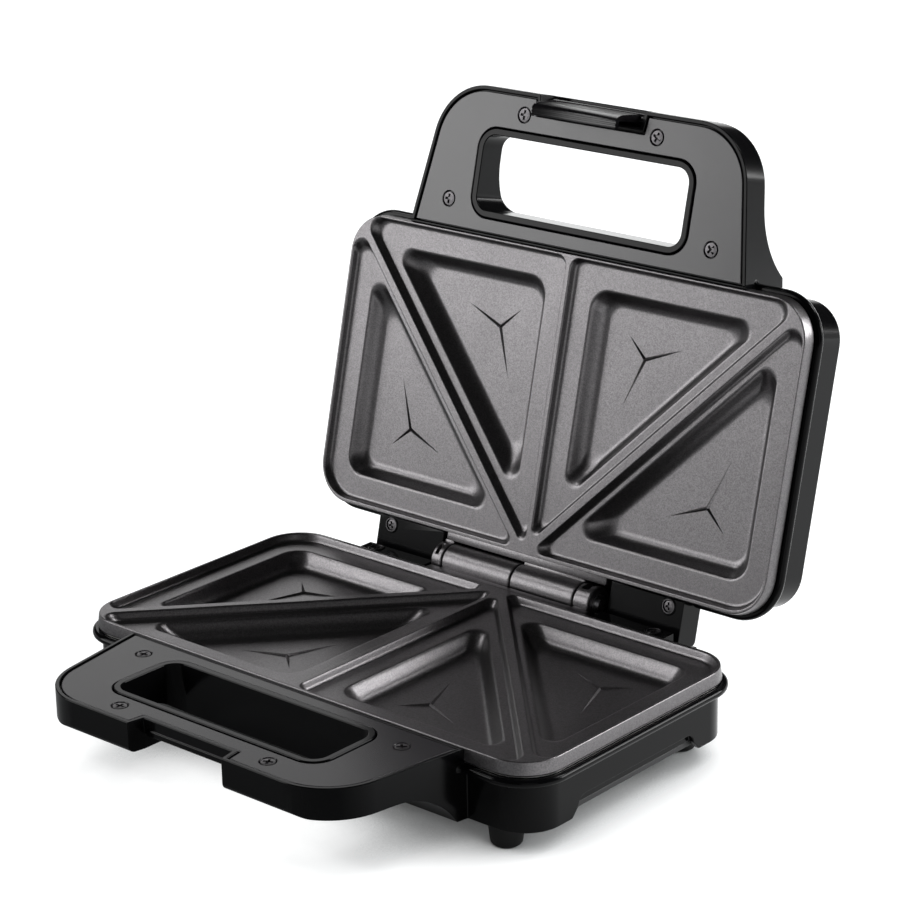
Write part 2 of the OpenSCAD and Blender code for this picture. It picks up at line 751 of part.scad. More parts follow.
module base_housing() {
  color([0.05, 0.05, 0.055]) in_base() difference() {
    union() {
      tub(base_depth, base_inner_z, base_floor_z);
      handle(base_depth, base_notch_w, base_screw_x, base_depth + eps);
      // kerbs that close the housing behind the arches
      for (s = [-1, 1]) translate([s * (skirt_in - kerb_w / 2 + eps), middle_y, base_inner_z + kerb_h / 2 - eps])
        cube([kerb_w, plate_d - 2 * plate_corner_r, kerb_h], center = true);
      // ridge that the latch clip catches under
      translate([-base_notch_w / 2 + 2, notch_back - ridge_out, -ridge_low])
        cube([base_notch_w - 4, ridge_out + 1, ridge_h]);
      // floor and ends of the thinner bar between the notch and the hand opening
      translate([-base_notch_w / 2 - handle_wall, notch_back + 1, -handle_h + 0.5])
        cube([base_notch_w + 2 * handle_wall, window_front - window_lip / 2 - notch_back - 1, handle_h - 0.5 - ridge_low + floor_t]);
      for (p = bottom_screws) translate([p[0], p[1], base_inner_z - eps]) cylinder(d = post_d, h = bottom_boss_h + eps);
    }
    post_holes(base_floor_z);
    between(flange_z - eps, 0) plate_outline(eps);
    // clear way under that bar for the latch clip's lip
    translate([-base_notch_w / 2, notch_back - eps, -base_depth - eps])
      cube([base_notch_w, window_front - notch_back + 2 * eps, base_depth + eps - ridge_low]);
    // arches in the side skirts
    for (s = [-1, 1]) translate([s * (skirt_in + far), 0, 0]) along_x(2 * far) polygon([
      [plate_front + arch_front - arch_r, -base_depth - eps],
      each arc([plate_front + arch_front + arch_r, -base_depth + arch_h - arch_r], arch_r, 180, 90, 6),
      each arc([plate_back - arch_back - arch_r, -base_depth + arch_h - arch_r], arch_r, 90, 0, 6),
      [plate_back - arch_back + arch_r, -base_depth - eps]
    ]);
    for (p = bottom_screws)
      translate([p[0], p[1], base_floor_z - eps]) cylinder(r = screw_d / 2 + screw_fit, h = floor_t + bottom_boss_h - 0.5);
    // way through for the wires, behind the hinge cover's front
    translate([-wire_way_w / 2, housing_back - housing_wall - eps, base_inner_z + 1])
      cube([wire_way_w, housing_wall + 2 * eps, wire_way_h]);
  }
}

module lid_housing() {
  color([0.06, 0.06, 0.065]) in_lid() difference() {
    union() {
      tub(lid_depth, lid_inner_z, -lid_depth);
      handle(lid_depth, lid_notch_w, lid_screw_x, lid_notch_d);
    }
    post_holes(-lid_depth);
    between(flange_z - eps, 0) plate_outline(eps);
    // recess for the panel
    between(-lid_depth - eps, -lid_depth + panel_t) panel_outline(bottom_gap / 2);
    for (s = [-1, 1]) translate([s * lens_pitch / 2, lens_y, -lid_depth - eps])
      cylinder(d = lens_d + 0.4, h = lid_depth + lid_inner_z + 2 * eps);
    // bearings of the latch pin in the sides of the notch
    translate([-latch_pin_end - eps, latch_y, -latch_pivot_z]) rotate([0, 90, 0])
      cylinder(r = latch_pin_r + 0.02, h = 2 * latch_pin_end + 2 * eps);
  }
}

// Panel outline on the lid's outer face, behind the lamps
module panel_outline(grow = 0) {
  round_rect(
    -panel_w / 2 - grow, panel_w / 2 + grow, middle_y + 6 - panel_d / 2 - grow, middle_y + 6 + panel_d / 2 + grow,
    10 + grow);
}
module lid_panel() {
  color([0.2, 0.2, 0.21]) in_lid() between(-lid_depth, -lid_depth + panel_t) panel_outline();
}

// Cover under the base, held up inside the skirts
module base_bottom_cover() {
  color([0.09, 0.09, 0.1]) in_base() difference() {
    between(base_cover_z, base_floor_z) housing_outline(-housing_wall - bottom_gap);
    for (p = bottom_screws) translate([p[0], p[1], base_cover_z - eps]) {
      cylinder(r = screw_d / 2 + screw_fit, h = far);
      cylinder(d = screw_head_d + 0.6, h = screw_head_h + 2 * eps);
    }
    for (p = feet) translate([p[0], p[1], base_cover_z - eps]) cylinder(r = foot_stem_r + 0.05, h = far);
    for (x = [-3 : 3]) translate([x * 14, middle_y, base_cover_z - eps])
      between(0, 2 * bottom_t) round_rect(-1.5, 1.5, -12, 12, 1.4);
  }
}

// ---- Hinge covers ----

// Block behind a plate, cut clear of the barrels
module hinge_block(depth, heel) {
  w = hinge_cover_w / 2;
  difference() {
    union() {
      translate([-w, plate_back + 0.3, -depth]) cube([2 * w, heel - plate_back - 0.3, depth - ear_drop]);
      translate([-w, housing_back, -depth]) cube([2 * w, heel - housing_back, depth + flange_z - 0.3]);
      for (s = [-1, 1]) translate([s * ear_screw_x, -ear_screw_y, -ear_drop - eps])
        cylinder(d = ear_ring_d, h = ear_drop + rim_z - 0.2 + eps);
    }
    translate([-hinge_bay_w / 2, -far, -barrel_r - barrel_air - 0.4]) cube([hinge_bay_w, 2 * far, far]);
    for (s = [-1, 1]) translate([s * ear_screw_x, -ear_screw_y, 0]) {
      translate([0, 0, -ear_drop - screw_head_h]) cylinder(d = screw_head_d + 0.3, h = far);
      translate([0, 0, -ear_drop - screw_head_h - screw_l - 1]) cylinder(r = screw_d / 2 + screw_fit, h = far);
    }
    children();
  }
}

module lid_hinge_cover() {
  color([0.05, 0.05, 0.055]) in_lid() hinge_block(lid_heel_h, lid_heel) {
    // rounding of the outer rear edge
    along_x(2 * far) difference() {
      translate([lid_heel - heel_r, -lid_heel_h - eps]) square([heel_r + eps, heel_r + eps]);
      translate([lid_heel - heel_r, -lid_heel_h + heel_r]) circle(heel_r);
    }
  }
}

module base_hinge_cover() {
  color([0.05, 0.05, 0.055]) in_base() hinge_block(base_depth, base_heel) {
    // room for the lid's hinge cover, down to the ledge that stops it
    along_x(2 * far) intersection() {
      rotate(-lid_open) translate([-far, -far]) square([far + lid_heel + stop_gap, 2 * far]);
      translate([ear_back, -far]) square([far, 2 * far]);
    }
    // inside, open towards the housing
    translate([-hinge_cover_w / 2 + housing_wall, housing_back - eps, -base_depth + housing_wall])
      cube([hinge_cover_w - 2 * housing_wall, base_heel - housing_back - housing_wall + eps, hinge_room_h]);
    translate([cord_x, 0, cord_z]) rotate([-90, 0, 0]) cylinder(r = bush_r - 1.2, h = far);
  }
}

// ---- Handle covers ----

module handle_cover(notch_w, front_x) {
  difference() {
    between(cover_bottom_z, cover_top_z) difference() {
      handle_outline(0, cover_back);
      window_outline(window_lip + cover_gap);
      notch_outline(notch_w, handle_wall + cover_gap);
    }
    for (p = cover_screws(front_x)) translate([p[0], p[1], 0]) {
      translate([0, 0, cover_top_z - screw_head_h]) cylinder(d = screw_recess_d, h = far);
      translate([0, 0, -far]) cylinder(r = screw_d / 2 + screw_fit, h = 2 * far);
    }
  }
}
module base_handle_cover() {
  color([0.22, 0.22, 0.23]) in_base() handle_cover(base_notch_w, base_screw_x);
}
module lid_handle_cover() {
  color([0.45, 0.44, 0.46]) in_lid() handle_cover(lid_notch_w, lid_screw_x);
}

// Screws that hold a cover, heads up
module head_up(z) {
  translate([0, 0, z]) mirror([0, 0, 1]) screw(screw_head_d, screw_head_h, screw_d, screw_l);
}
module base_cover_screws() {
  color([0.3, 0.3, 0.31]) in_base()
    for (p = cover_screws(base_screw_x)) translate([p[0], p[1], 0]) head_up(cover_top_z - screw_head_h);
}
module lid_cover_screws() {
  color([0.3, 0.3, 0.31]) in_lid()
    for (p = cover_screws(lid_screw_x)) translate([p[0], p[1], 0]) head_up(cover_top_z - screw_head_h);
}
module ear_screws() {
  for (s = [-1, 1]) translate([s * ear_screw_x, -ear_screw_y, 0]) head_up(-ear_drop - screw_head_h);
}
module base_hinge_screws() {
  color([0.3, 0.3, 0.31]) in_base() ear_screws();
}
module lid_hinge_screws() {
  color([0.3, 0.3, 0.31]) in_lid() ear_screws();
}

// ---- Plates, pans and heating in each half ----

module lower_plate() {
  color([0.2, 0.2, 0.21]) in_base() plate(lower_barrels);
}
module upper_plate() {
  color([0.55, 0.54, 0.53]) in_lid() plate(upper_barrels);
}
module base_pan() {
  color([0.75, 0.75, 0.76]) in_base() pan();
}
module lid_pan() {
  color([0.75, 0.75, 0.76]) in_lid() pan();
}
module lower_element() {
  color([0.35, 0.33, 0.3]) in_base() element();
}
module upper_element() {
  color([0.35, 0.33, 0.3]) in_lid() element();
}
module lower_element_clamps() {
  color([0.7, 0.7, 0.72]) in_base() element_clamps();
}
module upper_element_clamps() {
  color([0.7, 0.7, 0.72]) in_lid() element_clamps();
}
module lower_clamp_screws() {
  color([0.6, 0.6, 0.62]) in_base() clamp_screws();
}
module upper_clamp_screws() {
  color([0.6, 0.6, 0.62]) in_lid() clamp_screws();
}
module lower_plate_screws() {
  color([0.6, 0.6, 0.62]) in_base() plate_screws();
}
module upper_plate_screws() {
  color([0.6, 0.6, 0.62]) in_lid() plate_screws();
}
module bottom_cover_screws() {
  color([0.6, 0.6, 0.62]) in_base()
    for (p = bottom_screws) translate([p[0], p[1], base_cover_z + screw_head_h])
      screw(screw_head_d, screw_head_h, screw_d, bottom_boss_h);
}

// ---- Feet, hinge pin and wiring ----

module rubber_feet() {
  color([0.08, 0.08, 0.08]) in_base() for (p = feet) translate([p[0], p[1], 0]) {
    translate([0, 0, -base_depth - foot_h]) cylinder(d = foot_d, h = foot_h);
    translate([0, 0, -base_depth - eps]) cylinder(r = foot_stem_r * 2, h = base_cover_z + base_depth + eps);
    translate([0, 0, base_cover_z - eps]) cylinder(r = foot_stem_r, h = bottom_t);
  }
}
module hinge_pin() {
  color([0.75, 0.75, 0.77]) in_base() rotate([0, 90, 0]) difference() {
    union() {
      translate([0, 0, pin_left - pin_head_t]) cylinder(r = pin_r + 1.5, h = pin_head_t);
      translate([0, 0, pin_left - eps]) cylinder(r = pin_r, h = pin_right - pin_left + clip_t + 1.2 + eps);
    }
    translate([0, 0, pin_right + 0.1]) difference() {
      cylinder(r = pin_r + 1, h = clip_t);
      translate([0, 0, -eps]) cylinder(r = pin_r - 0.5, h = clip_t + 2 * eps);
    }
  }
}
module hinge_pin_clip() {
  color([0.7, 0.7, 0.72]) in_base() rotate([0, 90, 0]) translate([0, 0, pin_right + 0.15]) difference() {
    cylinder(r = pin_r + 2, h = clip_t - 0.1);
    translate([0, 0, -eps]) cylinder(r = pin_r - 0.45, h = clip_t + 2 * eps);
    translate([0, -pin_r + 0.6, -eps]) cube([far, 2 * pin_r - 1.2, clip_t + 2 * eps]);
  }
}
module cord_inlet_bush() {
  color([0.1, 0.1, 0.1]) in_base() translate([cord_x, base_heel, cord_z]) rotate([-90, 0, 0]) difference() {
    union() {
      cylinder(r = bush_r, h = bush_l);
      translate([0, 0, -housing_wall]) cylinder(r = bush_r - 1.25, h = housing_wall + eps);
      translate([0, 0, -housing_wall - 1.5]) cylinder(r = bush_r - 0.6, h = 1.5);
    }
    translate([0, 0, -far / 2]) cylinder(r = cord_hole_r, h = far);
  }
}
module terminal_block() {
  color([0.85, 0.84, 0.8]) in_base() translate([-16, -8, -base_depth + housing_wall + 0.4]) difference() {
    cube([32, 11, 10]);
    for (x = [5.5, 16, 26.5]) translate([x, -eps, 4.5]) rotate([-90, 0, 0]) cylinder(d = 3.6, h = far);
  }
}
module thermostat() {
  translate([-plate_w * 0.12, middle_y, pan_under_z - thermostat_h]) {
    cylinder(d = thermostat_d, h = thermostat_h);
    translate([-thermostat_d / 2 - 4, -2.5, 1]) cube([thermostat_d + 8, 5, 1]);
  }
}
module lower_thermostat() {
  color([0.8, 0.76, 0.66]) in_base() thermostat();
}
module upper_thermostat() {
  color([0.8, 0.76, 0.66]) in_lid() thermostat();
}
module thermal_fuse() {
  color([0.8, 0.72, 0.5]) in_base() translate([plate_w * 0.1, middle_y, pan_under_z - 2.6]) rotate([0, 90, 0]) {
    cylinder(d = 4, h = 12);
    translate([0, 0, -8]) cylinder(d = 1.2, h = 28);
  }
}

// ---- Lamps in the lid ----

module lens(s) {
  translate([s * lens_pitch / 2, lens_y, 0]) {
    translate([0, 0, -lid_depth - 0.8]) cylinder(d = lens_d, h = lid_depth + lid_inner_z + 0.8);
    translate([0, 0, lid_inner_z]) cylinder(d = lens_d + 2.4, h = 1);
  }
}
module power_lamp_lens() {
  color([0.8, 0.1, 0.08, 0.8]) in_lid() lens(-1);
}
module ready_lamp_lens() {
  color([0.1, 0.6, 0.15, 0.8]) in_lid() lens(1);
}
module neon_lamps() {
  color([0.9, 0.6, 0.4, 0.7]) in_lid()
    for (s = [-1, 1]) translate([s * lens_pitch / 2 - 5, lens_y, lid_inner_z + 1.2 + lamp_d / 2])
      rotate([0, 90, 0]) cylinder(d = lamp_d, h = 10);
}
module lamp_bracket() {
  color([0.8, 0.8, 0.78]) in_lid() difference() {
    translate([-lens_pitch / 2 - 9, lens_y - 1.5, lid_inner_z])
      cube([lens_pitch + 18, 3, lamp_d + 2.4]);
    for (s = [-1, 1]) translate([s * lens_pitch / 2 - lens_d / 2 - 1.5, lens_y - 2, lid_inner_z - eps])
      cube([lens_d + 3, 4, lamp_d + 1.6]);
  }
}

// ---- Latch ----

module latch_pin() {
  color([0.7, 0.7, 0.72]) in_lid() translate([-latch_pin_end + 0.5, latch_y, -latch_pivot_z])
    rotate([0, 90, 0]) cylinder(r = latch_pin_r, h = 2 * latch_pin_end - 1);
}

// Clip that hangs from the lid's handle and catches under the ridge in the base's notch
module latch_clip() {
  color([0.1, 0.1, 0.11]) in_lid() difference() {
    union() {
      translate([(latch_left + latch_right) / 2, 0, 0])
        along_x(latch_right - latch_left) polygon(latch_profile);
      translate([-latch_barrel_end, latch_y, -latch_pivot_z]) rotate([0, 90, 0])
        cylinder(r = latch_pivot_r, h = 2 * latch_barrel_end);
    }
    translate([-far, latch_y, -latch_pivot_z]) rotate([0, 90, 0]) cylinder(r = latch_pin_r + 0.05, h = 2 * far);
  }
}

base_housing();
base_bottom_cover();
base_hinge_cover();
base_handle_cover();
base_pan();
lower_plate();
lower_element();
lower_element_clamps();
lower_clamp_screws();
lower_plate_screws();
base_cover_screws();
base_hinge_screws();
bottom_cover_screws();
rubber_feet();
hinge_pin();
hinge_pin_clip();
cord_inlet_bush();
terminal_block();
lower_thermostat();
thermal_fuse();
lid_housing();
lid_panel();
lid_hinge_cover();
lid_handle_cover();
lid_pan();
upper_plate();
upper_element();
upper_element_clamps();
upper_clamp_screws();
upper_plate_screws();
lid_cover_screws();
lid_hinge_screws();
upper_thermostat();
power_lamp_lens();
ready_lamp_lens();
neon_lamps();
lamp_bracket();
latch_pin();
latch_clip();
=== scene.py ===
import json
import math

import bmesh
import bpy
from mathutils import Matrix, Vector


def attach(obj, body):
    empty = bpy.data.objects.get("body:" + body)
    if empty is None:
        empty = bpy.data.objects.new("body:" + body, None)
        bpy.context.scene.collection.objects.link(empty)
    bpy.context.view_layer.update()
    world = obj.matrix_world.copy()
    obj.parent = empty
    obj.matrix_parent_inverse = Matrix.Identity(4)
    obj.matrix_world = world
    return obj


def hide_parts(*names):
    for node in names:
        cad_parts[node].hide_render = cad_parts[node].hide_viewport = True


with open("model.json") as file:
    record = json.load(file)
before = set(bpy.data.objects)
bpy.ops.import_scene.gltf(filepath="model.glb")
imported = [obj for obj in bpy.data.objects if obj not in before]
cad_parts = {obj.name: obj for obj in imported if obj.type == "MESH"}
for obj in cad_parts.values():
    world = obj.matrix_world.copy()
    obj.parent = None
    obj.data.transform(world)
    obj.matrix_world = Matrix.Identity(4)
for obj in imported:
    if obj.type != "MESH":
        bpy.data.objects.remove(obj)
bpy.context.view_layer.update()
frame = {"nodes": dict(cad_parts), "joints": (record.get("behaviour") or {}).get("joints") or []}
scene = bpy.context.scene

# ---- Camera, floor and studio light ----
# A long lens looks down at the open toaster from its front right. The floor is a pale sheet that
# keeps the toaster's shadow, and soft lamps and cards stand round it.

azimuth, elevation, roll = math.radians(41.37), math.radians(19.16), math.radians(-1.07)
camera_place = (0.7546, -0.8289, 0.5107)
focal_pixels, picture_pixels, sensor_width = 2890.75, 900, 36
back = Vector((math.sin(azimuth) * math.cos(elevation),
               -math.cos(azimuth) * math.cos(elevation),
               math.sin(elevation)))
right = Vector((math.cos(azimuth), math.sin(azimuth), 0))
above = back.cross(right)
across = math.cos(roll) * right + math.sin(roll) * above
upright = -math.sin(roll) * right + math.cos(roll) * above
camera_data = bpy.data.cameras.new("camera")
camera_data.sensor_width = sensor_width
camera_data.lens = focal_pixels / picture_pixels * sensor_width
camera_data.clip_start, camera_data.clip_end = 0.05, 20
camera = bpy.data.objects.new("camera", camera_data)
scene.collection.objects.link(camera)
camera_turn = Matrix((across, upright, back)).transposed().to_4x4()
camera.matrix_world = Matrix.Translation(camera_place) @ camera_turn
scene.camera = camera
scene.view_settings.view_transform = "Standard"


def softbox(name, place, towards, width, height, power):
    """One rectangular studio lamp that faces a point on the toaster."""
    lamp = bpy.data.lights.new(name, "AREA")
    lamp.shape = "RECTANGLE"
    lamp.size, lamp.size_y = width, height
    lamp.energy = power
    lamp_object = bpy.data.objects.new(name, lamp)
    scene.collection.objects.link(lamp_object)
    lamp_object.location = place
    lamp_object.rotation_mode = "QUATERNION"
    lamp_object.rotation_quaternion = (Vector(towards) - Vector(place)).to_track_quat("-Z", "Y")


# Each lamp faces the toaster low down or at its middle.
low_on_it, middle_of_it = (0, 0, 0.05), (0, 0, 0.1)
softbox("key_softbox", (-2.06, -1.9, 1.0), middle_of_it, 1.5, 1.5, 37)
softbox("upper_softbox", (-1.12, -0.56, 1.3), low_on_it, 0.45, 0.45, 4.5)
softbox("overhead_softbox", (0.6, 0.95, 1.35), low_on_it, 0.4, 0.4, 7)
softbox("rear_softbox", (1.5, 1.5, 0.78), low_on_it, 1.3, 0.9, 46)
softbox("rear_card", (-1.75, 1.47, 0.9), middle_of_it, 1.2, 0.9, 4.8)
softbox("front_card", (1.5, -1.3, 0.85), middle_of_it, 1.2, 1.2, 1.7)


def added(tree, kind, sockets=(), **settings):
    """A new node with its settings and the values of its sockets."""
    node = tree.nodes.new(kind)
    for key, value in settings.items():
        setattr(node, key, value)
    for socket, value in dict(sockets).items():
        node.inputs[socket].default_value = value
    return node


def wire(tree, *pairs):
    """Links the output to the input in each pair."""
    for source, target in pairs:
        tree.links.new(source, target)


def feed(tree, sockets, values):
    """Gives each input its plain number, or links it to the output that stands in its place."""
    for socket, value in zip(sockets, values):
        if isinstance(value, (int, float)):
            socket.default_value = value
        else:
            wire(tree, (value, socket))


def math_node(tree, operation, *values):
    """A Math node fed by outputs or plain numbers. Returns its output."""
    node = added(tree, "ShaderNodeMath", operation=operation)
    feed(tree, node.inputs, values)
    return node.outputs[0]


def map_range(tree, value, span, onto, **settings):
    """A value that runs over one span, mapped onto another. Returns its output."""
    node = added(tree, "ShaderNodeMapRange", **settings)
    for socket, number in zip(("From Min", "From Max", "To Min", "To Max"), (*span, *onto)):
        node.inputs[socket].default_value = number
    wire(tree, (value, node.inputs["Value"]))
    return node.outputs["Result"]


# The camera sees a white room. Everything else sees it white near the floor and dark above.
world = bpy.data.worlds.new("studio")
scene.world = world
world.use_nodes = True
studio = world.node_tree
studio.nodes.clear()
direction = added(studio, "ShaderNodeTexCoord")
height = added(studio, "ShaderNodeSeparateXYZ")
seen_room = added(studio, "ShaderNodeLightPath")
room = added(studio, "ShaderNodeBackground", {"Color": (1, 1, 1, 1)})
room_out = added(studio, "ShaderNodeOutputWorld")
wire(studio, (direction.outputs["Generated"], height.inputs[0]))
fade = map_range(studio, height.outputs["Z"], (0.08, 0.18), (1.0, 0.02), interpolation_type="SMOOTHSTEP")
bright = math_node(studio, "MAXIMUM", fade, seen_room.outputs["Is Camera Ray"])
wire(studio, (bright, room.inputs["Strength"]), (room.outputs[0], room_out.inputs["Surface"]))

# The floor glows white where the sky over it is open, so only the shadow close to the toaster
# stays. In glossy reflections its rear right is bright and its front left is dark.
floor_reach = 6
floor_mesh = bpy.data.meshes.new("floor")
floor_mesh.from_pydata([(-floor_reach, -floor_reach, 0), (floor_reach, -floor_reach, 0),
                        (floor_reach, floor_reach, 0), (-floor_reach, floor_reach, 0)], [], [(0, 1, 2, 3)])
floor = bpy.data.objects.new("floor", floor_mesh)
scene.collection.objects.link(floor)
floor_paint = bpy.data.materials.new("floor_paint")
floor_paint.use_nodes = True
paint = floor_paint.node_tree
paint.nodes.clear()
sheet = added(paint, "ShaderNodeBsdfDiffuse", {"Color": (0.385, 0.4, 0.405, 1)})
glow = added(paint, "ShaderNodeEmission", {"Color": (0.995, 1.0, 1.0, 1)})
ray = added(paint, "ShaderNodeLightPath")
open_sky = added(paint, "ShaderNodeAmbientOcclusion", {"Distance": 0.036}, samples=8)
spot = added(paint, "ShaderNodeTexCoord")
rearward = added(paint, "ShaderNodeVectorMath", {1: (1, 1, 0)}, operation="DOT_PRODUCT")
both = added(paint, "ShaderNodeAddShader")
floor_out = added(paint, "ShaderNodeOutputMaterial")
wire(paint, (spot.outputs["Object"], rearward.inputs[0]))
open_share = map_range(paint, open_sky.outputs["AO"], (0.2, 0.74), (0.02, 0.97))
far_side = map_range(paint, rearward.outputs["Value"], (-0.03, 0.14), (0.11, 1.18))
in_gloss = math_node(paint, "MULTIPLY", ray.outputs["Is Glossy Ray"], far_side)
seen = math_node(paint, "MAXIMUM", ray.outputs["Is Camera Ray"], in_gloss)
seen_through = math_node(paint, "MAXIMUM", seen, ray.outputs["Is Transmission Ray"])
glow_level = math_node(paint, "MULTIPLY", seen_through, open_share)
wire(paint, (glow_level, glow.inputs["Strength"]), (sheet.outputs[0], both.inputs[0]),
     (glow.outputs[0], both.inputs[1]), (both.outputs[0], floor_out.inputs["Surface"]))
floor_mesh.materials.append(floor_paint)

# ---- Cooking plates ----
# Two aluminium castings with a graphite non-stick coat. Raised seams cut each sandwich corner to
# corner, and every well has a three-rayed ridge on its floor. Screws from below hold each plate.

# Sizes are in millimetres of one half: x to the right, y to the rear and z up from the hinge's
# axis. The closed plates meet at z = 0, and the lid half is the base half mirrored there.
mm = 0.001
lid_hinge = next(joint for joint in frame["joints"] if joint["name"] == "lid_hinge")
opening = math.radians(max(lid_hinge["range_deg"]))
at_hinge = Matrix.Translation(lid_hinge["pos_m"])
base_place = at_hinge @ Matrix.Diagonal((mm, mm, mm, 1))
lid_place = at_hinge @ Matrix.Rotation(-opening, 4, "X") @ Matrix.Diagonal((mm, mm, -mm, 1))
halves = {"base": base_place, "lid": lid_place, "latch": lid_place}


def shader_group(name, inputs, outputs):
    """An empty shader node group with named sockets: inputs are (name, value), outputs are names."""
    group = bpy.data.node_groups.new(name, "ShaderNodeTree")
    for socket, value in inputs:
        made = group.interface.new_socket(socket, in_out="INPUT", socket_type="NodeSocketFloat")
        made.default_value = value
    for socket in outputs:
        group.interface.new_socket(socket, in_out="OUTPUT", socket_type="NodeSocketFloat")
    return group, group.nodes.new("NodeGroupInput"), group.nodes.new("NodeGroupOutput")


def pattern(group, kind, size, **sockets):
    """A texture on Object coordinates. Its cells or patches have a size in millimetres, or a plain Scale."""
    texture = added(group, kind, sockets)
    at = added(group, "ShaderNodeTexCoord")
    wire(group, (at.outputs["Object"], texture.inputs["Vector"]))
    if size is not None:
        wire(group, (math_node(group, "DIVIDE", 1000, size), texture.inputs["Scale"]))
    return texture


# Metal flakes in the coat: each small cell is a little lighter or darker than the next.
flake_group, flake_in, flake_out = shader_group(
    "coat_flakes", [("Flake Size", 0.4), ("Contrast", 0.5)], ["Flakes", "Height"])
cells = pattern(flake_group, "ShaderNodeTexVoronoi", flake_in.outputs["Flake Size"])
cloud = pattern(flake_group, "ShaderNodeTexNoise", None, Scale=700, Detail=3)
grey = added(flake_group, "ShaderNodeSeparateColor")
mixed = added(flake_group, "ShaderNodeMix", {"Factor": 0.4})
wire(flake_group, (cells.outputs["Color"], grey.inputs[0]), (grey.outputs[0], mixed.inputs["A"]),
     (cloud.outputs["Fac"], mixed.inputs["B"]))
off_middle = math_node(flake_group, "SUBTRACT", mixed.outputs[0], 0.5)
contrast = math_node(flake_group, "MULTIPLY_ADD", off_middle, flake_in.outputs["Contrast"], 0.5)
wire(flake_group, (contrast, flake_out.inputs["Flakes"]), (mixed.outputs[0], flake_out.inputs["Height"]))

# Handling: faint smears that make a surface a little duller in patches, with finer streaks in them.
handling_group, handling_in, handling_out = shader_group(
    "handling", [("Patch Size", 60), ("Dull", 0.1), ("Base", 0.3)], ["Roughness", "Mask"])
patches = pattern(handling_group, "ShaderNodeTexNoise", handling_in.outputs["Patch Size"],
                  Detail=5, Roughness=0.62)
dulled = math_node(handling_group, "MULTIPLY_ADD", patches.outputs["Fac"], handling_in.outputs["Dull"],
                   handling_in.outputs["Base"])
wire(handling_group, (dulled, handling_out.inputs["Roughness"]),
     (patches.outputs["Fac"], handling_out.inputs["Mask"]))


def placed(tree, group, **values):
    """A node group in a material, with its values set on its sockets."""
    node = added(tree, "ShaderNodeGroup", node_tree=group)
    for socket, value in values.items():
        node.inputs[socket.replace("_", " ")].default_value = value
    return node


def finish_named(name, **values):
    """A new material with a Principled shader whose sockets have the given values."""
    material = bpy.data.materials.new(name)
    material.use_nodes = True
    shader = material.node_tree.nodes["Principled BSDF"]
    for socket, value in values.items():
        shader.inputs[socket.replace("_", " ")].default_value = value
    return material, material.node_tree, shader


def relief(tree, shader, height, depth):
    """Bump from a height that runs from 0 to 1 and stands for a depth in millimetres."""
    bump = added(tree, "ShaderNodeBump", {"Strength": 1.0, "Distance": depth * mm})
    wire(tree, (height, bump.inputs["Height"]), (bump.outputs["Normal"], shader.inputs["Normal"]))


def two_tone(tree, shader, share, first, second):
    """Lets the base colour run from one colour to the other as a share goes from 0 to 1."""
    tone = added(tree, "ShaderNodeMix", {"A": (*first, 1), "B": (*second, 1)}, data_type="RGBA")
    wire(tree, (share, tone.inputs["Factor"]), (tone.outputs["Result"], shader.inputs["Base Color"]))


def coat(name, dark, light, rough, flake, contrast):
    """The plates' non-stick coat: graphite, with metal flakes in it."""
    material, tree, shader = finish_named(name, Metallic=0.94)
    flakes = placed(tree, flake_group, Flake_Size=flake, Contrast=contrast)
    wear = placed(tree, handling_group, Patch_Size=35, Dull=0.12, Base=rough - 0.06)
    two_tone(tree, shader, flakes.outputs["Flakes"], dark, light)
    wire(tree, (wear.outputs["Roughness"], shader.inputs["Roughness"]))
    relief(tree, shader, flakes.outputs["Height"], 0.02)
    return material


graphite_coat = coat("graphite_coat", (0.059, 0.0565, 0.0583), (0.218, 0.2093, 0.2155), 0.33, 0.42, 0.6)


def corner_arc(a, p, b, r, n=8):
    """Points that round corner p, which lies between a and b, with radius r."""
    a, p, b = Vector(a), Vector(p), Vector(b)
    u, v = (a - p).normalized(), (b - p).normalized()
    half = math.acos(max(-1, min(1, u.dot(v)))) / 2
    c = p + (u + v).normalized() * r / math.sin(half)
    start, end = p + u * r / math.tan(half) - c, p + v * r / math.tan(half) - c
    first = math.atan2(start.y, start.x)
    swing = (math.atan2(end.y, end.x) - first + math.pi) % (2 * math.pi) - math.pi
    angles = [first + swing * i / n for i in range(n + 1)]
    return [c + r * Vector((math.cos(angle), math.sin(angle))) for angle in angles]


def rounded(corners, radii, n=8):
    """An outline whose corners are rounded with their own radii."""
    count = len(corners)
    points = []
    for i in range(count):
        points += corner_arc(corners[i - 1], corners[i], corners[(i + 1) % count], radii[i], n)
    return points


def level(outline, z):
    """An outline laid flat at a height."""
    return [(p[0], p[1], z) for p in outline]


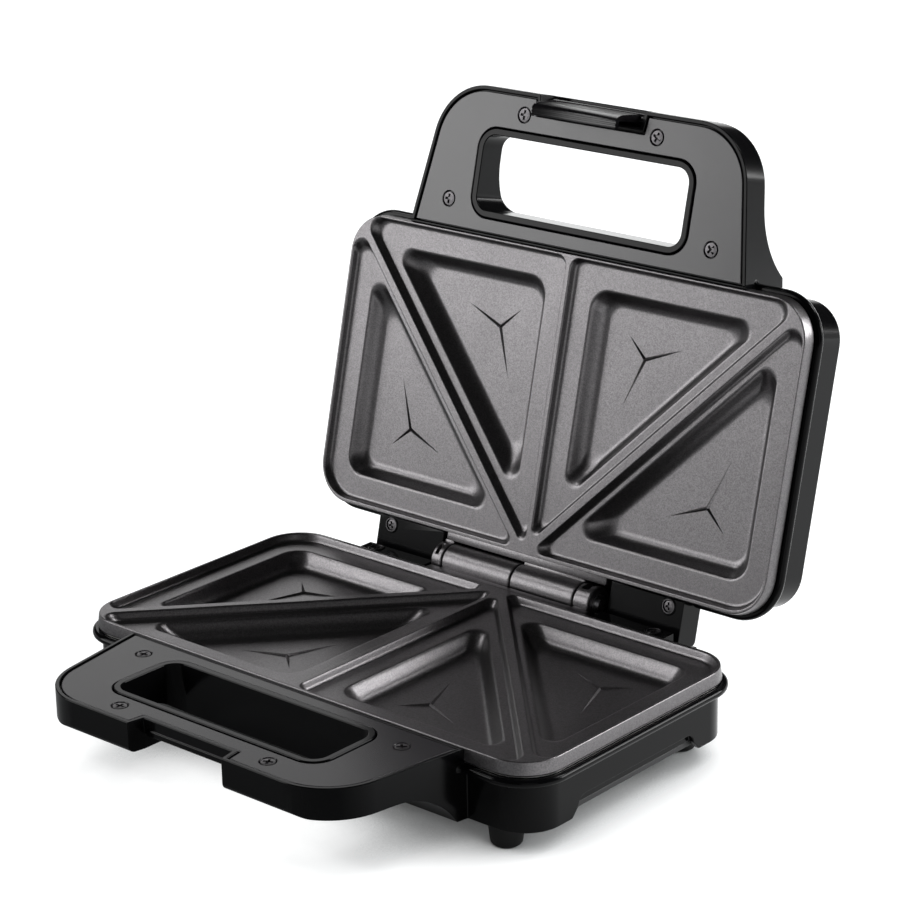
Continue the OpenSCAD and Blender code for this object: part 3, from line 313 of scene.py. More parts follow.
class Shell:
    """A closed skin that is put together ring by ring, in millimetres of one half of the toaster."""

    def __init__(self):
        self.bm = bmesh.new()

    def ring(self, points):
        return [self.bm.verts.new(p) for p in points]

    def join(self, a, b):
        """A band of faces between two rings of as many points."""
        for i in range(len(a)):
            j = (i + 1) % len(a)
            self.bm.faces.new((a[i], a[j], b[j], b[i]))

    def loft(self, outlines):
        """Bands through all the outlines. Returns the first ring and the last."""
        rings = [self.ring(o) for o in outlines]
        for a, b in zip(rings, rings[1:]):
            self.join(a, b)
        return rings[0], rings[-1]

    def fill(self, *rings):
        """A flat face inside the first ring, with the other rings as its holes."""
        edges = []
        for ring in rings:
            for i in range(len(ring)):
                pair = (ring[i - 1], ring[i])
                edges.append(self.bm.edges.get(pair) or self.bm.edges.new(pair))
        bmesh.ops.triangle_fill(self.bm, use_beauty=True, use_dissolve=False, edges=edges)

    def piece(self, name, body, material, smooth=35):
        """The finished piece, moved to its place on its body."""
        bm = self.bm
        bmesh.ops.remove_doubles(bm, verts=bm.verts, dist=1e-4)
        bmesh.ops.transform(bm, matrix=halves[body], verts=bm.verts)
        bmesh.ops.recalc_face_normals(bm, faces=bm.faces)
        mesh = bpy.data.meshes.new(name)
        bm.to_mesh(mesh)
        bm.free()
        mesh.shade_smooth()
        mesh.set_sharp_from_angle(angle=math.radians(smooth))
        mesh.materials.append(material)
        made = bpy.data.objects.new(name, mesh)
        scene.collection.objects.link(made)
        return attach(made, body)


# Half a plate's width, its back and front edges, and the radius of its corners
plate_side, plate_back, plate_front, corner_r = 125, -11.54, -144.64, 18
# Levels of the rim, the crust, the wells' floors and the lower edge of the outer wall
rim_z, crust_z, floor_z, skirt_z = -0.4, -3.9, -10.9, -6.4
# Widths of the rim at the sides, the front and the back, and half widths of the seams
rim_side, rim_front, rim_back, seam_half, middle_half = 1.4, 1.2, 2.0, 2.0, 1.3
# Both slanting seams start here, on the plate's back edge
hub = Vector((-2, plate_back))


def seam_towards(s):
    """The direction of the slanting seam on side s, from the hub to the front corner."""
    return Vector((s * plate_side - hub.x, plate_front - plate_back)).normalized()


def seam_at(s, off):
    """The point beside the hub where a line along the seam starts, off to one side of it."""
    d = seam_towards(s)
    return hub + s * off * Vector((d.y, -d.x))


def seam_y(s, x, off):
    """How far to the rear that line is at x."""
    p, d = seam_at(s, off), seam_towards(s)
    return p.y + (x - p.x) * d.y / d.x


def seam_x(s, y, off):
    """How far to the right that line is at y."""
    p, d = seam_at(s, off), seam_towards(s)
    return p.x + (y - p.y) * d.x / d.y


def cell(s, rear, m, ms):
    """Corners of a cell, in from its straight edges by m and in from its seam by ms."""
    if rear:
        x, y, off = s * (plate_side - rim_side - m), plate_back - rim_back - m, -seam_half - ms
    else:
        x, y, off = s * (middle_half + m), plate_front + rim_front + m, seam_half + ms
    return [(x, y), (seam_x(s, y, off), y), (x, seam_y(s, x, off))]


def cell_outline(s, rear, m, ms, square_r, tip_r, hub_r, z):
    """A cell's outline with a radius at its square corner, its tip and the corner near the hub."""
    radii = [square_r, hub_r, tip_r] if rear else [square_r, tip_r, hub_r]
    return level(rounded(cell(s, rear, m, ms), radii, 9), z)


def plate_outline(grow, z, n=12):
    """The plate's outline, grown or shrunk."""
    x, y0, y1 = plate_side + grow, plate_front - grow, plate_back + grow
    return level(rounded([(-x, y0), (x, y0), (x, y1), (-x, y1)], [corner_r + grow] * 4, n), z)


# Crust step: inset from the straight edges, inset from the seam, depth below the rim
step_profile = [(-0.5, -0.55, 0), (-0.35, -0.35, 0), (-0.12, -0.08, 0.12), (0.06, 0.16, 0.4), (0.2, 0.4, 0.8),
                (0.6, 1.1, 2.4), (0.75, 1.35, 2.9), (1.0, 1.62, 3.25), (1.4, 1.95, 3.46), (1.8, 2.2, 3.5),
                (2.3, 2.45, 3.5)]
# Well wall: share of the way in, share of the way down
well_profile = [(0.0, 0.0), (0.06, 0.0), (0.115, 0.022), (0.165, 0.07), (0.21, 0.14), (0.26, 0.24),
                (0.33, 0.385), (0.41, 0.54), (0.49, 0.68), (0.58, 0.80), (0.67, 0.885), (0.76, 0.945),
                (0.85, 0.982), (0.93, 0.997), (1.0, 1.0), (1.06, 1.0)]
# Rim edge, outer wall with its slight draft, and the edge below it: growth, depth below the rim
outer_profile = [(-0.62, 0), (-0.52, 0), (-0.3, 0.06), (-0.16, 0.2), (-0.1, 0.45), (0.55, 5.2), (0.5, 5.7),
                 (0.2, 6.0), (-0.9, 6.0)]
# Radii of a step's tip and its corner near the hub, and of its square corner in front and rear cells
step_tip_r, step_hub_r, front_square_r, rear_square_r = 5.2, 2.9, 5, 16
# A well's edge: inset from the straight edges, and from the seam in front and rear cells
edge_inset, front_ledge, rear_ledge = 9.9, 4.4, 3.0
edge_square_r, edge_tip_r = 9.8, 5.6
# Where a well's wall starts behind its edge, how far it leans in, and its corners at the top
wall_inset, wall_ledge, wall_lean, wall_square_r, wall_tip_r = 10.6, 0.5, 7.6, 9.4, 5.4
# How much the wall's corners tighten on the way down
square_tightening, tip_tightening = 3.0, 1.2
# The casting's bulge below a well: inset, inset from the seam, how far it leans in and reaches down
under_inset, under_ledge, under_lean, under_depth = 8.7, 1.3, 5, 7.0
# The bulge's corners at its top, and how much they tighten on the way down
under_square_r, under_tip_r, under_tightening = 11.5, 7.5, 2

# The star's rays from its middle in a front cell on the right. The others are mirrored or turned.
star_rays = [(-10.2, -9.3), (19.4, -7.7), (-8.6, 22.8)]
front_star, rear_star = (40.2, -105.8), (83.6, -50.5)
# Height of the star's crown and of its rays halfway out, half the width of a ray, and how far out
# the rays part
crown_h, crest_h, ray_half, parting = 0.85, 0.55, 0.5, 0.95


def star(shell, s, rear):
    """Three sharp raised rays on a well's floor. Returns the ring where they meet the floor."""
    x, y = rear_star if rear else front_star
    c = Vector((s * x, y))
    turned = -1 if rear else 1
    rays = [Vector((s * ray[0] * turned, ray[1] * turned)) for ray in star_rays]
    rays.sort(key=lambda r: math.atan2(r.y, r.x))
    crown = shell.bm.verts.new((c.x, c.y, floor_z + crown_h))
    ring, crest = [], []
    for i, r in enumerate(rays):
        notch = c + (rays[i - 1].normalized() + r.normalized()).normalized() * parting
        side = Vector((-r.y, r.x)).normalized() * ray_half
        waist = c + r * 0.5
        foot = [notch, waist - side, c + r, waist + side]
        ring += shell.ring(level(foot, floor_z))
        crest.append(shell.bm.verts.new((waist.x, waist.y, floor_z + crest_h)))
    for i in range(3):
        notch, low, tip, high = ring[4 * i:4 * i + 4]
        following = ring[(4 * i + 4) % 12]
        for face in ((crown, notch, low, crest[i]), (crest[i], low, tip),
                     (crest[i], tip, high), (crown, crest[i], high, following)):
            shell.bm.faces.new(face)
    return ring


def well(shell, s, rear):
    """A well with its ledge, wall, floor and star. Returns its edge ring."""
    ledge = rear_ledge if rear else front_ledge
    outlines = [cell_outline(s, rear, edge_inset, ledge, edge_square_r, edge_tip_r, edge_tip_r, crust_z)]
    for way_in, way_down in well_profile:
        lean = wall_lean * way_in
        square_r = wall_square_r - square_tightening * way_in
        tip_r = wall_tip_r - tip_tightening * way_in
        z = crust_z - (crust_z - floor_z) * way_down
        outlines.append(cell_outline(s, rear, wall_inset + lean, ledge + wall_ledge + lean,
                                     square_r, tip_r, tip_r, z))
    edge, ground = shell.loft(outlines)
    shell.fill(ground, star(shell, s, rear))
    return edge


def underside(shell, s, rear):
    """The casting's bulge below a well. Returns the ring where it leaves the flat underside."""
    outlines = []
    for way in (0, 1):
        lean = under_lean * way
        square_r = under_square_r - under_tightening * way
        tip_r = under_tip_r - under_tightening * way
        z = skirt_z - under_depth * way
        outlines.append(cell_outline(s, rear, under_inset + lean, under_ledge + lean,
                                     square_r, tip_r, tip_r, z))
    rest, cap = shell.loft(outlines)
    shell.bm.faces.new(cap)
    return rest


def cooking_plate(name, body, node):
    """A whole casting: four cells with their crust steps, wells and undersides, and the outer wall."""
    shell = Shell()
    tops, unders = [], []
    for s in (-1, 1):
        for rear in (False, True):
            square_r = rear_square_r if rear else front_square_r
            top, foot = shell.loft([cell_outline(s, rear, m, ms, square_r, step_tip_r, step_hub_r, rim_z - d)
                                    for m, ms, d in step_profile])
            tops.append(top)
            shell.fill(foot, well(shell, s, rear))
            unders.append(underside(shell, s, rear))
    rim, lower_edge = shell.loft([plate_outline(grow, rim_z - d) for grow, d in outer_profile])
    shell.fill(rim, *tops)
    shell.fill(lower_edge, *unders)
    made = shell.piece(name, body, graphite_coat, 40)
    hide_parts(node)


cooking_plate("lower_cooking_plate", "base", "lower_plate")
cooking_plate("upper_cooking_plate", "lid", "upper_plate")

# ---- Hinge barrels ----
# Each plate's casting ends in a tongue and barrels that the steel hinge pin passes through. A
# narrow slot is cut into each casting's end barrel.

barrel_r, bore_r, tongue_half = 7.5, 2.55, 45
# Backs and fronts of the tongue and of the webs that reach from it to the barrels, and how much
# shorter and thinner a web is than its barrel and the tongue
tongue_back, tongue_front, web_back, web_front = -8.3, -12.2, -4.4, -8.7
web_end, web_step = 0.3, 0.1
# Left and right ends of each plate's barrels, and the lowest and highest corner of each slot
lower_barrels = [(-39.6, -0.9), (34.8, 43.0)]
upper_barrels = [(-45.9, -40.2), (-0.3, 34.2)]
lower_slot = ((36.6, -3.2, 4.6), (40.4, 4.5, 9))
upper_slot = ((-44.4, -9, 2.6), (-42.4, -2.4, 9))


def circle(r, n, y=0, z=0):
    """Points of a circle round a middle, as pairs."""
    return [(y + r * math.cos(2 * math.pi * k / n), z + r * math.sin(2 * math.pi * k / n)) for k in range(n)]


def lathe_along_x(shell, profile, n=40, y=0, z=0):
    """Turns a profile of (x, radius) points about a line along X, from its outer end round to its bore."""
    rings = [shell.ring([(x, *p) for p in circle(r, n, y, z)]) for x, r in profile]
    for i in range(len(rings)):
        shell.join(rings[i - 1], rings[i])


def both_ends(x0, x1, end):
    """Stations from x0 to x1 out of (distance from the end, value), the same at both ends."""
    return [(x0 + d, value) for d, value in end] + [(x1 - d, value) for d, value in reversed(end)]


def barrel(shell, x0, x1, edge=0.45, bend=0.13):
    """One barrel with its bore and its rounded ends."""
    end = [(0, bore_r), (0, barrel_r - 1.0), (0, barrel_r - edge), (bend, barrel_r - bend),
           (edge, barrel_r), (edge + 0.5, barrel_r)]
    lathe_along_x(shell, both_ends(x0, x1, end))


def bar(shell, low, high, r=0.5):
    """A straight bar along X between two corners, with rounded edges."""
    def section(inset):
        y0, z0, y1, z1 = low[1] + inset, low[2] + inset, high[1] - inset, high[2] - inset
        return rounded([(y0, z0), (y1, z0), (y1, z1), (y0, z1)], [r] * 4, 3)
    stations = both_ends(low[0], high[0], [(0, r * 0.6), (r * 0.3, r * 0.2), (r, 0)])
    first, last = shell.loft([[(x, *p) for p in section(inset)] for x, inset in stations])
    shell.bm.faces.new(first)
    shell.bm.faces.new(last)


def carved(shell, name, body, material, slot):
    """The finished piece with a narrow slot cut into it, given by its lowest and highest corner."""
    cutter = Shell()
    bar(cutter, *slot, r=0.25)
    tool = cutter.piece(name + "_cutter", body, material)
    made = shell.piece(name, body, material, 40)
    cut = made.modifiers.new("slots", "BOOLEAN")
    cut.object = tool
    cut.solver = "EXACT"
    cut.use_self = True
    whole = made.data
    made.data = bpy.data.meshes.new_from_object(made.evaluated_get(bpy.context.evaluated_depsgraph_get()))
    made.modifiers.remove(cut)
    made.data.name = name
    made.data.set_sharp_from_angle(angle=math.radians(40))
    bpy.data.objects.remove(tool)
    bpy.data.meshes.remove(whole)
    return made


def hinge_casting(name, body, barrels, slot):
    """A plate's tongue with its barrels and the webs that carry them."""
    shell = Shell()
    bar(shell, (-tongue_half, tongue_front, skirt_z), (tongue_half, tongue_back, rim_z))
    for x0, x1 in barrels:
        barrel(shell, x0, x1)
        bar(shell, (x0 + web_end, web_front, skirt_z + web_step),
            (x1 - web_end, web_back, rim_z - web_step), r=0.4)
    made = carved(shell, name, body, graphite_coat, slot)


hinge_casting("lower_plate_barrels", "base", lower_barrels, lower_slot)
hinge_casting("upper_plate_barrels", "lid", upper_barrels, upper_slot)

# ---- Housings and hinge covers ----
# Injection-moulded black plastic with a high gloss. Every outer edge has a small moulded radius,
# and the bead round each plate a larger one.

moulding_group, moulding_in, moulding_out = shader_group(
    "moulding_texture", [("Grain Size", 1.0)], ["Height"])
skin = pattern(moulding_group, "ShaderNodeTexNoise", moulding_in.outputs["Grain Size"], Detail=4)
wire(moulding_group, (skin.outputs["Fac"], moulding_out.inputs["Height"]))


def plastic(name, color, rough, dull, grain, depth, **values):
    """Moulded plastic: a fine skin from the tool, and duller patches where it is handled."""
    material, tree, shader = finish_named(name, Base_Color=(*color, 1), **values)
    wear = placed(tree, handling_group, Patch_Size=45, Dull=dull, Base=rough - dull / 2)
    grain_node = placed(tree, moulding_group, Grain_Size=grain)
    wire(tree, (wear.outputs["Roughness"], shader.inputs["Roughness"]))
    relief(tree, shader, grain_node.outputs["Height"], depth)
    return material


gloss_black = plastic("gloss_black_plastic", (0.003, 0.003, 0.0034), 0.14, 0.08, 6.0, 0.01,
                      Specular_IOR_Level=0.1)

# Radii of the moulded edges, of the hinge covers' edges and of the bead, then how far the bead
# stands out, with what slack it is told apart, and its levels
edge_radius, cover_radius, bead_radius = 0.35, 0.4, 1.4
bead_out, bead_slack, bead_low, bead_high = 3, 0.4, -10.6, -7
plate_middle = (plate_front + plate_back) / 2


def past_outline(p):
    """How far a point stands out past the plates' outline."""
    dx = abs(p.x) - plate_side + corner_r
    dy = abs(p.y - plate_middle) - (plate_back - plate_front) / 2 + corner_r
    return (math.hypot(dx, dy) if min(dx, dy) > 0 else max(dx, dy)) - corner_r


def on_bead(p):
    """Whether a point of one half lies on the bead's outer edges."""
    return bead_low < p.z < bead_high and bead_out - bead_slack < past_outline(p) < bead_out + bead_slack


def softened(node, name, body, material, radius, bead=0):
    """A copy of a plain solid whose edges get a small moulded radius in millimetres, and its bead
    a larger one. It stands for the solid."""
    bm = bmesh.new()
    bm.from_mesh(frame["nodes"][node].data)
    bmesh.ops.remove_doubles(bm, verts=bm.verts, dist=2e-6)
    bmesh.ops.dissolve_limit(bm, angle_limit=math.radians(1.5), verts=bm.verts, edges=bm.edges,
                             use_dissolve_boundaries=False)
    bmesh.ops.recalc_face_normals(bm, faces=bm.faces)
    width = max(radius, bead)
    sharp = math.radians(32)
    weight = bm.edges.layers.float.new("bevel_weight_edge")
    back_to_half = halves[body].inverted()
    for edge in bm.edges:
        if len(edge.link_faces) == 2 and edge.calc_face_angle(0) > sharp:
            of_bead = bead and all(on_bead(back_to_half @ v.co) for v in edge.verts)
            edge[weight] = (bead if of_bead else radius) / width
    mesh = bpy.data.meshes.new(name)
    bm.to_mesh(mesh)
    bm.free()
    mesh.shade_smooth()
    mesh.set_sharp_from_angle(angle=sharp)
    mesh.materials.append(material)
    made = bpy.data.objects.new(name, mesh)
    scene.collection.objects.link(made)
    bevel = made.modifiers.new("edge_radius", "BEVEL")
    bevel.width = width * mm
    bevel.segments = 3 if bead else 2
    bevel.limit_method = "WEIGHT"
    bevel.use_clamp_overlap = False
    bevel.miter_outer = "MITER_ARC"
    flat = made.modifiers.new("flat_faces", "WEIGHTED_NORMAL")
    flat.keep_sharp = True
    flat.weight = 90
    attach(made, body)
    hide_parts(node)


softened("base_housing", "base_shell", "base", gloss_black, edge_radius, bead_radius)
softened("lid_housing", "lid_shell", "lid", gloss_black, edge_radius, bead_radius)
softened("base_hinge_cover", "base_hinge_block", "base", gloss_black, cover_radius)
softened("lid_hinge_cover", "lid_hinge_block", "lid", gloss_black, cover_radius)

# ---- Handle covers ----
# Flat satin plates screwed into the top of each hollow handle.


def satin(name, color, gloss):
    """Charcoal plastic with a fine satin skin."""
    return plastic(name, color, 0.26, 0.06, 0.5, 0.004, Specular_IOR_Level=gloss)


# Both handle covers are the same charcoal plastic. The base's copy is darker and less glossy than the lid's,
# which paints shade onto the base cover.
satin_painted_shade_base = satin("satin_charcoal_base_painted_shade", (0.011, 0.0098, 0.0119), 0.28)
upper_satin = satin("satin_charcoal_lid", (0.0145, 0.0129, 0.0157), 0.54)
softened("base_handle_cover", "base_handle_plate", "base", satin_painted_shade_base, edge_radius)
softened("lid_handle_cover", "lid_handle_plate", "lid", upper_satin, edge_radius)

# ---- Latch clip ----
# A moulded clip on a steel pin in the lid handle's notch. Its arm leans in to a grooved lip, which
# catches under the bar of the lower handle.

clip_black = plastic("clip_black", (0.006, 0.0056, 0.0066), 0.24, 0.06, 0.5, 0.004,
                     Specular_IOR_Level=0.3)
latch_y, latch_z, clip_left, clip_right = -205.8, -8, -23.5, 22
barrel_end, latch_bore_r, latch_barrel_r, latch_edge = 26.5, 1.25, 2.8, 0.3
finger_slot = ((-12, -208.4, 2.1), (14.5, -206.6, 2.9))
# The clip seen from its side as (y, z): along the outside of the arm from its pivot, round the lip
# with its two grooves, and back along the inside
clip_side = [(-208, -8), (-207.72, -5), (-207.1, 1.6), (-206.6, 6), (-206.25, 7.6), (-205.7, 8.9),
             (-204.95, 9.75), (-204.2, 10.1), (-204.0, 10.1), (-203.8, 9.7), (-203.2, 9.7), (-203.0, 10.1),
             (-202.5, 10.1), (-202.3, 9.7), (-201.7, 9.7), (-201.5, 10.1), (-201.25, 10.1), (-200.98, 9.95),
             (-200.9, 9.6), (-200.9, 8.6), (-201.0, 8.35), (-201.25, 8.3), (-203.9, 8.3), (-204.4, 8.05),
             (-204.6, 7.5), (-205, -8)]
# Rounding of the clip's ends: distance from the end, how far the side draws in
clip_ends = [(0, 0.35), (0.12, 0.12), (0.4, 0)]


def drawn_in(outline, by):
    """An outline moved in from its edges by a small amount."""
    moved = []
    for i, p in enumerate(outline):
        before = Vector(outline[i - 1]) - Vector(p)
        after = Vector(outline[(i + 1) % len(outline)]) - Vector(p)
        inward = Vector((before.y - after.y, after.x - before.x)).normalized()
        moved.append(Vector(p) + inward * by)
    return moved


shell = Shell()
left_end, right_end = shell.loft([[(x, p.x, p.y) for p in drawn_in(clip_side, by)]
                                  for x, by in both_ends(clip_left, clip_right, clip_ends)])
shell.fill(left_end)
shell.fill(right_end)
pivot_end = [(0, latch_bore_r), (0, latch_barrel_r - latch_edge), (latch_edge, latch_barrel_r)]
lathe_along_x(shell, both_ends(-barrel_end, barrel_end, pivot_end), 32, latch_y, latch_z)
clip = carved(shell, "latch_clip_moulding", "latch", clip_black, finger_slot)
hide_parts("latch_clip")

# ---- Screws ----
# Small steel screws with a low domed head and a cross recess. They hold the handle covers and the
# hinge covers from above, and the bottom cover from below.


def bare_metal(name, color, patch, dull, base, depth):
    """Plain metal with duller, slightly uneven patches of a size in millimetres."""
    material, tree, shader = finish_named(name, Base_Color=(*color, 1), Metallic=1.0)
    scuffs = placed(tree, handling_group, Patch_Size=patch, Dull=dull, Base=base)
    wire(tree, (scuffs.outputs["Roughness"], shader.inputs["Roughness"]))
    relief(tree, shader, scuffs.outputs["Mask"], depth)
    return material


screw_steel = bare_metal("blackened_steel", (0.12, 0.115, 0.12), 1.5, 0.2, 0.32, 0.03)


def node_tree_named(name, sizes):
    """An empty Geometry Nodes tree that takes places, named sizes and a finish."""
    tree = bpy.data.node_groups.new(name, "GeometryNodeTree")
    tree.interface.new_socket("Places", in_out="INPUT", socket_type="NodeSocketGeometry")
    for socket, value in sizes:
        kind = "NodeSocketInt" if isinstance(value, int) else "NodeSocketFloat"
        tree.interface.new_socket(socket, in_out="INPUT", socket_type=kind).default_value = value
    tree.interface.new_socket("Finish", in_out="INPUT", socket_type="NodeSocketMaterial")
    tree.interface.new_socket("Result", in_out="OUTPUT", socket_type="NodeSocketGeometry")
    return tree, tree.nodes.new("NodeGroupInput").outputs, tree.nodes.new("NodeGroupOutput").inputs


def vector_of(tree, x=0, y=0, z=0):
    """A vector put together from outputs or plain numbers. Returns its output."""
    node = added(tree, "ShaderNodeCombineXYZ")
    feed(tree, node.inputs, (x, y, z))
    return node.outputs[0]


def product(tree, first, *others):
    """Outputs and plain numbers multiplied together. Returns the output."""
    for other in others:
        first = math_node(tree, "MULTIPLY", first, other)
    return first


def round_blank(tree, width, height, vertices, side_steps, fill_steps):
    """A straight round blank. Returns its mesh, its half width, and the x, y and z of its points."""
    steps = {"Vertices": vertices, "Side Segments": side_steps, "Fill Segments": fill_steps}
    blank = added(tree, "GeometryNodeMeshCone", steps, fill_type="NGON")
    half_width = product(tree, width, 0.5)
    where = added(tree, "GeometryNodeInputPosition")
    apart = added(tree, "ShaderNodeSeparateXYZ")
    wire(tree, (half_width, blank.inputs["Radius Top"]), (half_width, blank.inputs["Radius Bottom"]),
         (height, blank.inputs["Depth"]), (where.outputs[0], apart.inputs[0]))
    return blank.outputs["Mesh"], half_width, apart.outputs


def moved_rod(tree, width, length, vertices, rise):
    """A plain rod along Z, moved up so that its middle is at a height."""
    rod = added(tree, "GeometryNodeMeshCylinder", {"Vertices": vertices, "Side Segments": 1})
    moved = added(tree, "GeometryNodeTransform")
    wire(tree, (product(tree, width, 0.5), rod.inputs["Radius"]), (length, rod.inputs["Depth"]),
         (rod.outputs["Mesh"], moved.inputs["Geometry"]),
         (vector_of(tree, 0, 0, rise), moved.inputs["Translation"]))
    return moved.outputs[0]


def put_on_places(tree, parts, given, result, rotation=None):
    """Joins the parts of one shape, puts it on every place and gives it its finish."""
    whole = added(tree, "GeometryNodeJoinGeometry")
    stood = added(tree, "GeometryNodeInstanceOnPoints")
    realized = added(tree, "GeometryNodeRealizeInstances")
    finished = added(tree, "GeometryNodeSetMaterial")
    for part in parts:
        wire(tree, (part, whole.inputs[0]))
    if rotation:
        wire(tree, (rotation, stood.inputs["Rotation"]))
    wire(tree, (given["Places"], stood.inputs["Points"]), (whole.outputs[0], stood.inputs["Instance"]),
         (stood.outputs[0], realized.inputs[0]), (realized.outputs[0], finished.inputs["Geometry"]),
         (given["Finish"], finished.inputs["Material"]), (finished.outputs[0], result[0]))


def screw_heads():
    """Screws with a domed head, a cross recess and a shank, each turned by its own amount."""
    tree, given, result = node_tree_named("screw_heads", [
        ("Head Width", 5.8), ("Head Height", 1.2), ("Dome", 0.16),
        ("Recess Length", 4.3), ("Recess Width", 1.15), ("Recess Depth", 1.1),
        ("Shank Width", 2.8), ("Shank Length", 8.0), ("Facing", 0.0), ("Turn Seed", 3)])
    # The head's upper face falls towards its edge.
    blank, half_width, (x, y, z) = round_blank(tree, given["Head Width"], given["Head Height"], 36, 2, 5)
    radius_2 = math_node(tree, "ADD", product(tree, x, x), product(tree, y, y))
    fall = math_node(tree, "DIVIDE", radius_2, product(tree, half_width, half_width))
    upper = math_node(tree, "GREATER_THAN", z, product(tree, given["Head Height"], 0.75))
    drop = product(tree, fall, upper, given["Dome"], -1)
    domed = added(tree, "GeometryNodeSetPosition")
    recessed = added(tree, "GeometryNodeMeshBoolean", operation="DIFFERENCE", solver="EXACT")
    wire(tree, (blank, domed.inputs["Geometry"]), (vector_of(tree, 0, 0, drop), domed.inputs["Offset"]),
         (domed.outputs[0], recessed.inputs["Mesh 1"]))
    # Two crossed blades cut the recess.
    blade_size = vector_of(tree, given["Recess Length"], given["Recess Width"],
                           product(tree, given["Recess Depth"], 2))
    for turn in (math.pi / 4, 3 * math.pi / 4):
        blade = added(tree, "GeometryNodeMeshCube")
        stood = added(tree, "GeometryNodeTransform", {"Rotation": (0, 0, turn)})
        wire(tree, (blade_size, blade.inputs["Size"]), (blade.outputs["Mesh"], stood.inputs["Geometry"]),
             (vector_of(tree, 0, 0, given["Head Height"]), stood.inputs["Translation"]),
             (stood.outputs[0], recessed.inputs["Mesh 2"]))
    # The shank reaches a little way into the head.
    shank_middle = math_node(tree, "MULTIPLY_ADD", given["Shank Length"], -0.5, 0.2)
    shank = moved_rod(tree, given["Shank Width"], given["Shank Length"], 16, shank_middle)
    chance = added(tree, "FunctionNodeRandomValue", {3: math.pi / 2}, data_type="FLOAT")
    wire(tree, (given["Turn Seed"], chance.inputs["Seed"]))
    put_on_places(tree, (recessed.outputs[0], shank), given, result,
                  vector_of(tree, given["Facing"], 0, chance.outputs[1]))
    return tree


def repeated(tree, name, body, places, finish, slot, node, **sizes):
    """A tree's shape on each place of one half, as one plain mesh that stands for a CAD node."""
    points = bpy.data.meshes.new(name)
    points.from_pydata(places, [], [])
    made = bpy.data.objects.new(name, points)
    scene.collection.objects.link(made)
    grow = made.modifiers.new(name, "NODES")
    grow.node_group = tree
    chosen = {socket.replace("_", " "): value for socket, value in sizes.items()} | {"Finish": finish}
    for item in tree.interface.items_tree:
        if item.in_out == "INPUT" and item.name in chosen:
            grow[item.identifier] = chosen[item.name]
    grown = bpy.data.meshes.new_from_object(made.evaluated_get(bpy.context.evaluated_depsgraph_get()))
    made.modifiers.remove(grow)
    place = halves[body]
    grown.transform(place)
    if place.determinant() < 0:
        grown.flip_normals()
    grown.shade_smooth()
    grown.set_sharp_from_angle(angle=math.radians(35))
    made.data = grown
    grown.name = name
    bpy.data.meshes.remove(points)
    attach(made, body)
    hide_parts(node)


# Places of the screws' heads in each handle cover, in the hinge cover and in the bottom cover
cover_x, cover_y, cover_front_y, head_z = 71.9, -158, -199.9, -2.2
cover_front_x = {"base": 41.2, "lid": 36.1}
hinge_screw_x, hinge_screw_y = 78.5, -7.6
bottom_x, bottom_y, bottom_z = 89, 42.59, -28
# A thin raised collar round each hinge screw: radius, height
collar = [(3.12, -2.2), (3.12, -0.62), (3.04, -0.55), (2.8, -0.55), (2.72, -0.62), (2.72, -2.2)]


def screw_collars(half):
    """The collars round one half's two hinge screws."""
    shell = Shell()
    for x in (-hinge_screw_x, hinge_screw_x):
        rings = [shell.ring([(x + p[0], hinge_screw_y + p[1], z) for p in circle(r, 40)]) for r, z in collar]
        for i in range(len(rings)):
            shell.join(rings[i - 1], rings[i])
    shell.piece(half + "_hinge_screw_washers", half, screw_steel)


screw_tree = screw_heads()
for half, front_x in cover_front_x.items():
    corners = [(-cover_x, cover_y), (cover_x, cover_y), (-front_x, cover_front_y), (front_x, cover_front_y)]
    repeated(screw_tree, half + "_cover_screw_set", half, level(corners, head_z), screw_steel,
             "steel_hardware", half + "_cover_screws", Turn_Seed=5)
    ears = [(-hinge_screw_x, hinge_screw_y), (hinge_screw_x, hinge_screw_y)]
    repeated(screw_tree, half + "_hinge_screw_set", half, level(ears, head_z), screw_steel, "steel_hardware",
             half + "_hinge_screws", Turn_Seed=8, Head_Width=4.6, Recess_Length=3.4, Recess_Width=0.95)
    screw_collars(half)
corners = [(x, plate_middle + y, bottom_z) for x in (-bottom_x, bottom_x) for y in (-bottom_y, bottom_y)]
repeated(screw_tree, "bottom_cover_screw_set", "base", corners, screw_steel, "steel_hardware",
         "bottom_cover_screws", Facing=math.pi, Shank_Length=4.0, Turn_Seed=11)

# ---- Feet and cord inlet ----
# Four rubber feet taper to a rounded tread and plug into the bottom cover. A rubber bush lines the
# cord's inlet in the base's hinge cover.

rubber = plastic("black_rubber", (0.005, 0.005, 0.005), 0.55, 0.12, 0.5, 0.02,
                 Specular_IOR_Level=0.2)
# How far the feet stand out to each side, to the front and to the rear, and the level of the floor
foot_x, foot_front, foot_back, tread_z = 104, -134.44, -22.54, -41


